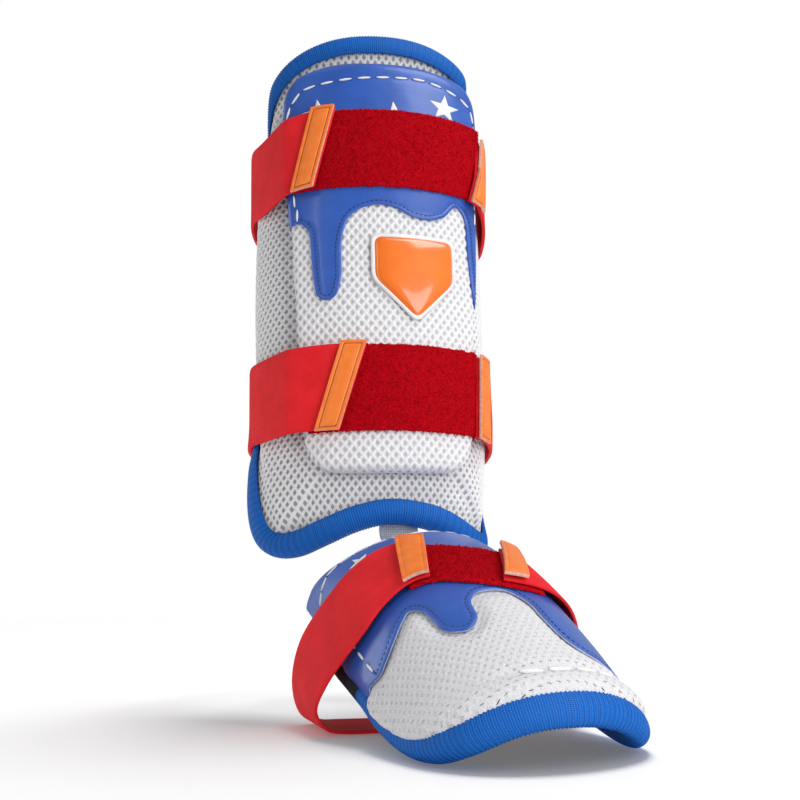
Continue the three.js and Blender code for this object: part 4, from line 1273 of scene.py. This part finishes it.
def makeFootLeather(style):
    hide = flatGrid((0, 0), (len(footDrip) - 1, 1), len(footDrip) - 1, style["rows"])
    flat = corners(hide)
    column, back = np.rint(flat[:, 0]).astype(int), flat[:, 1] ** style["crowding"]
    run = footDrip[column, 0]
    rear = rearAt(run)
    along = mix(footDrip[column, 1], rear - style["past"], back)
    layFlat(hide, run, along)
    places = np.stack([run, along], 1)
    # its lower ends slip under the tape
    tucked = style["tuck"] * (1 - smoothStep(depthFrom(footFront, places)[0], *style["tuckDepths"]))
    lift = leatherLift(leatherStyle, footDripEdge, sideLine, places) + style["lift"]
    lift = lift - tucked - footDrawn(run, along)
    past = np.clip(rear - along, 0, None)  # turned over the rear edge
    angle = np.clip(past / style["turnLength"], 0, math.pi / 2)
    over = np.where(past > 0, rear - style["turnRadius"] * np.sin(angle), along)
    drop = style["turnRadius"] * (1 - np.cos(angle))
    drop = drop + np.clip(past - style["turnLength"] * math.pi / 2, 0, None)
    drop = drop + style["steeper"] * np.clip(past - style["steeperFrom"], 0, None)
    bend(hide, onFoot(run, over, lift - np.where(past > 0, drop, 0)))
    piece = newPiece("instepLeather", hide, [leatherBlue, cutEdge], "foot_overlay")
    return thicken(piece, leatherStyle["thick"], -1, 1)


instepLeather = makeFootLeather(footLeatherStyle)


def onFootLeather(run, along):
    return onFoot(run, along, leatherTop + 0.4 - footDrawn(run, along))


def onCover(run, along):
    return onFoot(run, along, coverLift(np.stack([run, along], 1)))


footDash = {"pitch": 9.9, "length": 8.2, "radius": 0.72, "flat": 0.75, "raise": 0.15, "hole": 0.5}
toeDash = {"pitch": 13, "length": 11.5, "radius": 1.4, "flat": 0.7, "raise": 0.5, "hole": 0}
inside = footDripEdge["line"] + footDripEdge["inward"] * leatherStyle["seam"]
onLeather = [sewRow("instepWhiteStitches", [rearLine, sideLine], onFootLeather, footDash, threadWhite, -1),
             sewRow("instepDripStitches", [inside[30:-14]], onFootLeather, navyDot, navyThreadAndHoleShade, -1)]
sewRow("instepToeStitches", [toeLine], onCover, toeDash, threadWhite, -1)
onLeather.append(makeStar("instepStar", (-45.5 * footPerDegree, 29.5), starStyle["foot"], 160, onFootLeather))
declareSheet(instepLeather, ["foot_pad"], onLeather)
print("instep guard made")


# stirrup strap and its panel and tabs

# ends and panel sides: turns at the rear and front edge
stirrupStyle = {
    "thick": 1.6, "width": 42, "leaveLeft": -62, "leaveRight": 80, "floor": 1.1, "strands": 15,
    "onFoot": 8, "middle": 6.2, "leftEnd": (-16, -26), "rightEnd": (18, 2),
    "panelLeft": (-24, -36), "panelRight": (24, 24), "panelSize": (58, 44), "panelLift": 3.2,
    "panelSunk": 0.4,
}
stirrupBack = smoothLine([(-90, 42), (-67, 43), (-50, 40), (-36, 38), (-26, 40.5), (-14, 49), (2, 57),
                          (18, 58), (40, 53), (60, 48), (90, 44)], 8)
# rear and front edge on the way under the foot
stirrupRoute = [
    ((-69, 4, 43), (-71.5, -42, 25)), ((-71.5, 8, 20), (-74, -36, 12)), ((-66, 8.5, 5), (-68, -35, 3.6)),
    ((-54, 8, 1.1), (-54, -35, 1.1)), ((0, -4, 1.1), (0, -46, 1.1)), ((46, -12, 1.1), (46, -54, 1.1)),
    ((60, -12, 9), (60, -54, 6)), ((64, -12, 24), (64, -54, 14)),
]


def stirrupAlong(turn, across):
    return np.interp(turn, stirrupBack[:, 0], stirrupBack[:, 1]) + stirrupStyle["width"] * across


def stirrupStrand(across):
    style = stirrupStyle
    left = np.linspace(mix(*style["leftEnd"], across), style["leaveLeft"], style["onFoot"])
    right = np.linspace(style["leaveRight"], mix(*style["rightEnd"], across), style["onFoot"])
    free = [mix(np.array(back, float), np.array(front, float), across) for back, front in stirrupRoute]
    knots = np.vstack([footLocal(left, stirrupAlong(left, across), style["middle"]), free,
                       footLocal(right, stirrupAlong(right, across), style["middle"])])
    line = slackLine(knots, 14)
    line[:, 2] = np.maximum(line[:, 2], style["floor"])
    return line


def webFrom(strands):  # strands side by side, as an open sheet
    count, rows = len(strands[0]), len(strands)
    lengths = runAlong(strands[rows // 2])
    widths = runAlong(np.array([strand[count // 2] for strand in strands]))
    web, at = countedGrid(count - 1, rows - 1)
    layFlat(web, lengths[at[:, 0]], widths[at[:, 1]])
    bend(web, np.array([strands[j][i] for i, j in at]))
    return web


stirrup = webFrom([footPlace(stirrupStrand(across)) for across in np.linspace(0, 1, stirrupStyle["strands"])])
stirrupElastic = newBand("stirrupElastic", stirrup, elasticRed, "foot_strap",
                         stirrupStyle["thick"], 0)
declareSheet(stirrupElastic, ["foot_loop_panel"])


def onInstep(flat):
    style, (long, wide) = stirrupStyle, stirrupStyle["panelSize"]
    sideways, across = flat[:, 0] / long, 1 - flat[:, 1] / wide
    turn = mix(mix(*style["panelLeft"], across), mix(*style["panelRight"], across), sideways)
    lift = style["panelLift"] + loopStyle["thick"] - style["panelSunk"] + flat[:, 2]
    return footPoint(turn, stirrupAlong(turn, across), lift)


makeLoop("instepLoop", (0, 0), stirrupStyle["panelSize"], onInstep, "foot_loop_panel", ["foot_overlay"],
         loopStyle)


def makeFootTab(name, end, side, forward, nodeName):
    style = tabStyle

    def place(across, up, lift):
        down = 1 - up
        turn = mix(*end, down) + style["footTurn"] * across
        along = stirrupAlong(turn, down) + (down - 0.5) * 2 * style["overhang"] + forward
        return footPoint(turn, along, stirrupStyle["middle"] + style["footGap"] + style["thick"] + lift)
    makeTab(name, place, side, style["footLong"], nodeName)


makeFootTab("instepTabLeft", stirrupStyle["leftEnd"], -1, tabStyle["leftForward"], "foot_tab_left")
makeFootTab("instepTabRight", stirrupStyle["rightEnd"], 1, 0, "foot_tab_right")
print("stirrup made")


# webbing between the halves

linkStyle = {
    "half": 13.5, "shinTurn": 6, "footTurn": 3, "hold": 24, "clear": 7, "footClear": 2, "thick": 2,
    "shinLift": -11.75, "footLift": -10.5, "strands": 15,
}


def linkStrand(side):
    style = linkStyle
    offset = side * style["half"]
    shinAt = style["shinTurn"] + offset / (degree * shinForm["halfWidth"])
    footAt = style["footTurn"] + offset / footPerDegree
    up = np.array([style["hold"], style["hold"] / 2, -style["clear"]])
    down = np.array([style["footClear"], style["hold"] / 2, style["hold"]])
    knots = np.vstack([shinPoint(np.full(3, shinAt), padOutline[0][2] + up, style["shinLift"]),
                       footPoint(np.full(3, footAt), down, style["footLift"])])
    return slackLine(knots, 12)


webbing = webFrom([linkStrand(side) for side in np.linspace(-1, 1, linkStyle["strands"])])
linkWebbing = newBand("linkWebbing", webbing, webbingGrey, "link_webbing",
                      linkStyle["thick"], 0)
declareSheet(linkWebbing, ["shin_pad", "foot_pad"])
print("webbing made")


# floor, light and camera, in metres

stageStyle = {
    "floor": -0.2457, "radius": 0.9, "fade": 0.5, "glow": 0.12, "dim": 0.13, "bright": 0.5,
    "key": 8, "top": 8, "strip": 1.8, "side": 3.8, "floorLight": 20,
}
floorMesh = bmesh.new()
bmesh.ops.create_circle(floorMesh, cap_ends=True, segments=96, radius=stageStyle["radius"],
                        matrix=Matrix.Translation((0, 0, stageStyle["floor"])))
floorData = bpy.data.meshes.new("floor")
floorMesh.to_mesh(floorData)
floorMesh.free()
floorPale = newFinish("floorPale", 0.8, Specular_IOR_Level=0.1, Emission_Color=(1, 1, 1, 1),
                      Emission_Strength=stageStyle["glow"])
colourBy(floorPale, noise(floorPale, 3, 2), [(0.3, (0.9, 0.9, 0.9)), (0.7, (0.92, 0.92, 0.92))])
fromMiddle = node(floorPale, "ShaderNodeVectorMath", operation="LENGTH")
link(floorPale, coordinates(floorPale, False, (1, 1, 0)), fromMiddle.inputs[0])
# the floor's edge runs out into the backdrop
paling = node(floorPale, "ShaderNodeMapRange", interpolation_type="SMOOTHSTEP")
setRange(paling, "From", stageStyle["fade"], stageStyle["radius"])
setRange(paling, "To", 1, 0)
link(floorPale, fromMiddle.outputs["Value"], paling.inputs["Value"])
link(floorPale, paling.outputs["Result"], shaderInput(floorPale, "Alpha"))
floorData.materials.append(floorPale)
floor = bpy.data.objects.new("floor", floorData)
bpy.context.collection.objects.link(floor)


def floorGroup(name, state):  # for lights that reach the floor alone, or all but the floor
    group = bpy.data.collections.new(name)
    group.objects.link(floor)
    group.collection_objects[0].light_linking.link_state = state
    return group


floorLit, floorUnlit = floorGroup("floorLit", "INCLUDE"), floorGroup("floorUnlit", "EXCLUDE")


def addLight(name, place, aim, size, power, receivers=floorUnlit):
    lamp = bpy.data.lights.new(name, "AREA")
    lamp.shape, lamp.size, lamp.size_y, lamp.energy = "RECTANGLE", *size, power
    holder = bpy.data.objects.new(name, lamp)
    holder.location = place
    holder.rotation_euler = (Vector(aim) - Vector(place)).to_track_quat("-Z", "Y").to_euler()
    holder.light_linking.receiver_collection = receivers
    bpy.context.collection.objects.link(holder)


addLight("keyLight", (0.6, -1.12, 0.1), (0, -0.03, -0.12), (0.7, 0.9), stageStyle["key"])
addLight("topLight", (0.6, -0.5, 1.05), (0, -0.05, -0.1), (0.7, 0.7), stageStyle["top"])
addLight("floorLight", (0.24, 0.4, 1.3), (0, -0.05, -0.2), (0.6, 0.6), stageStyle["floorLight"], floorLit)
addLight("sideLight", (-1.1, 0.6, 0.1), (0, 0, 0), (0.6, 1.0), stageStyle["side"])
addLight("stripLight", (-0.85, -0.75, 0.15), (0, -0.02, 0), (0.06, 1.2), stageStyle["strip"])

# a white backdrop that lights the guard only softly, brighter from the right and behind
world = bpy.data.worlds.new("studio")
world.use_nodes = True
sky = world.node_tree
soft, backdrop = sky.nodes["Background"], sky.nodes.new("ShaderNodeBackground")
soft.inputs["Color"].default_value = backdrop.inputs["Color"].default_value = (1, 1, 1, 1)
backdrop.inputs["Strength"].default_value = 1
facing, level = sky.nodes.new("ShaderNodeVectorMath"), sky.nodes.new("ShaderNodeMapRange")
facing.operation, facing.inputs[1].default_value = "DOT_PRODUCT", (0.62, 0.62, 0.48)
setRange(level, "From", -1, 1)
setRange(level, "To", stageStyle["dim"], stageStyle["bright"])
seen, either = sky.nodes.new("ShaderNodeLightPath"), sky.nodes.new("ShaderNodeMixShader")
link(world, sky.nodes.new("ShaderNodeTexCoord").outputs["Generated"], facing.inputs[0])
link(world, facing.outputs["Value"], level.inputs["Value"])
link(world, level.outputs["Result"], soft.inputs["Strength"])
link(world, seen.outputs["Is Camera Ray"], either.inputs["Fac"])
link(world, soft.outputs["Background"], either.inputs[1])
link(world, backdrop.outputs["Background"], either.inputs[2])
link(world, either.outputs["Shader"], sky.nodes["World Output"].inputs["Surface"])
bpy.context.scene.world = world
bpy.context.scene.view_settings.view_transform = "Standard"

cameraStyle = {
    "place": (-0.10318, -0.69578, -0.14698), "yaw": -9.18, "pitch": 6.29, "lens": 53.942,
    "sensor": 36, "nearest": 0.01, "shift": (-0.0004, 0.0039),
}
cameraData = bpy.data.cameras.new("camera")
cameraData.lens, cameraData.sensor_width = cameraStyle["lens"], cameraStyle["sensor"]
cameraData.clip_start = cameraStyle["nearest"]
cameraData.shift_x, cameraData.shift_y = cameraStyle["shift"]
camera = bpy.data.objects.new("camera", cameraData)
camera.location = cameraStyle["place"]
camera.rotation_euler = ((90 + cameraStyle["pitch"]) * degree, 0, cameraStyle["yaw"] * degree)
bpy.context.collection.objects.link(camera)
bpy.context.scene.camera = camera

bpy.context.view_layer.update()
print("scene ready")
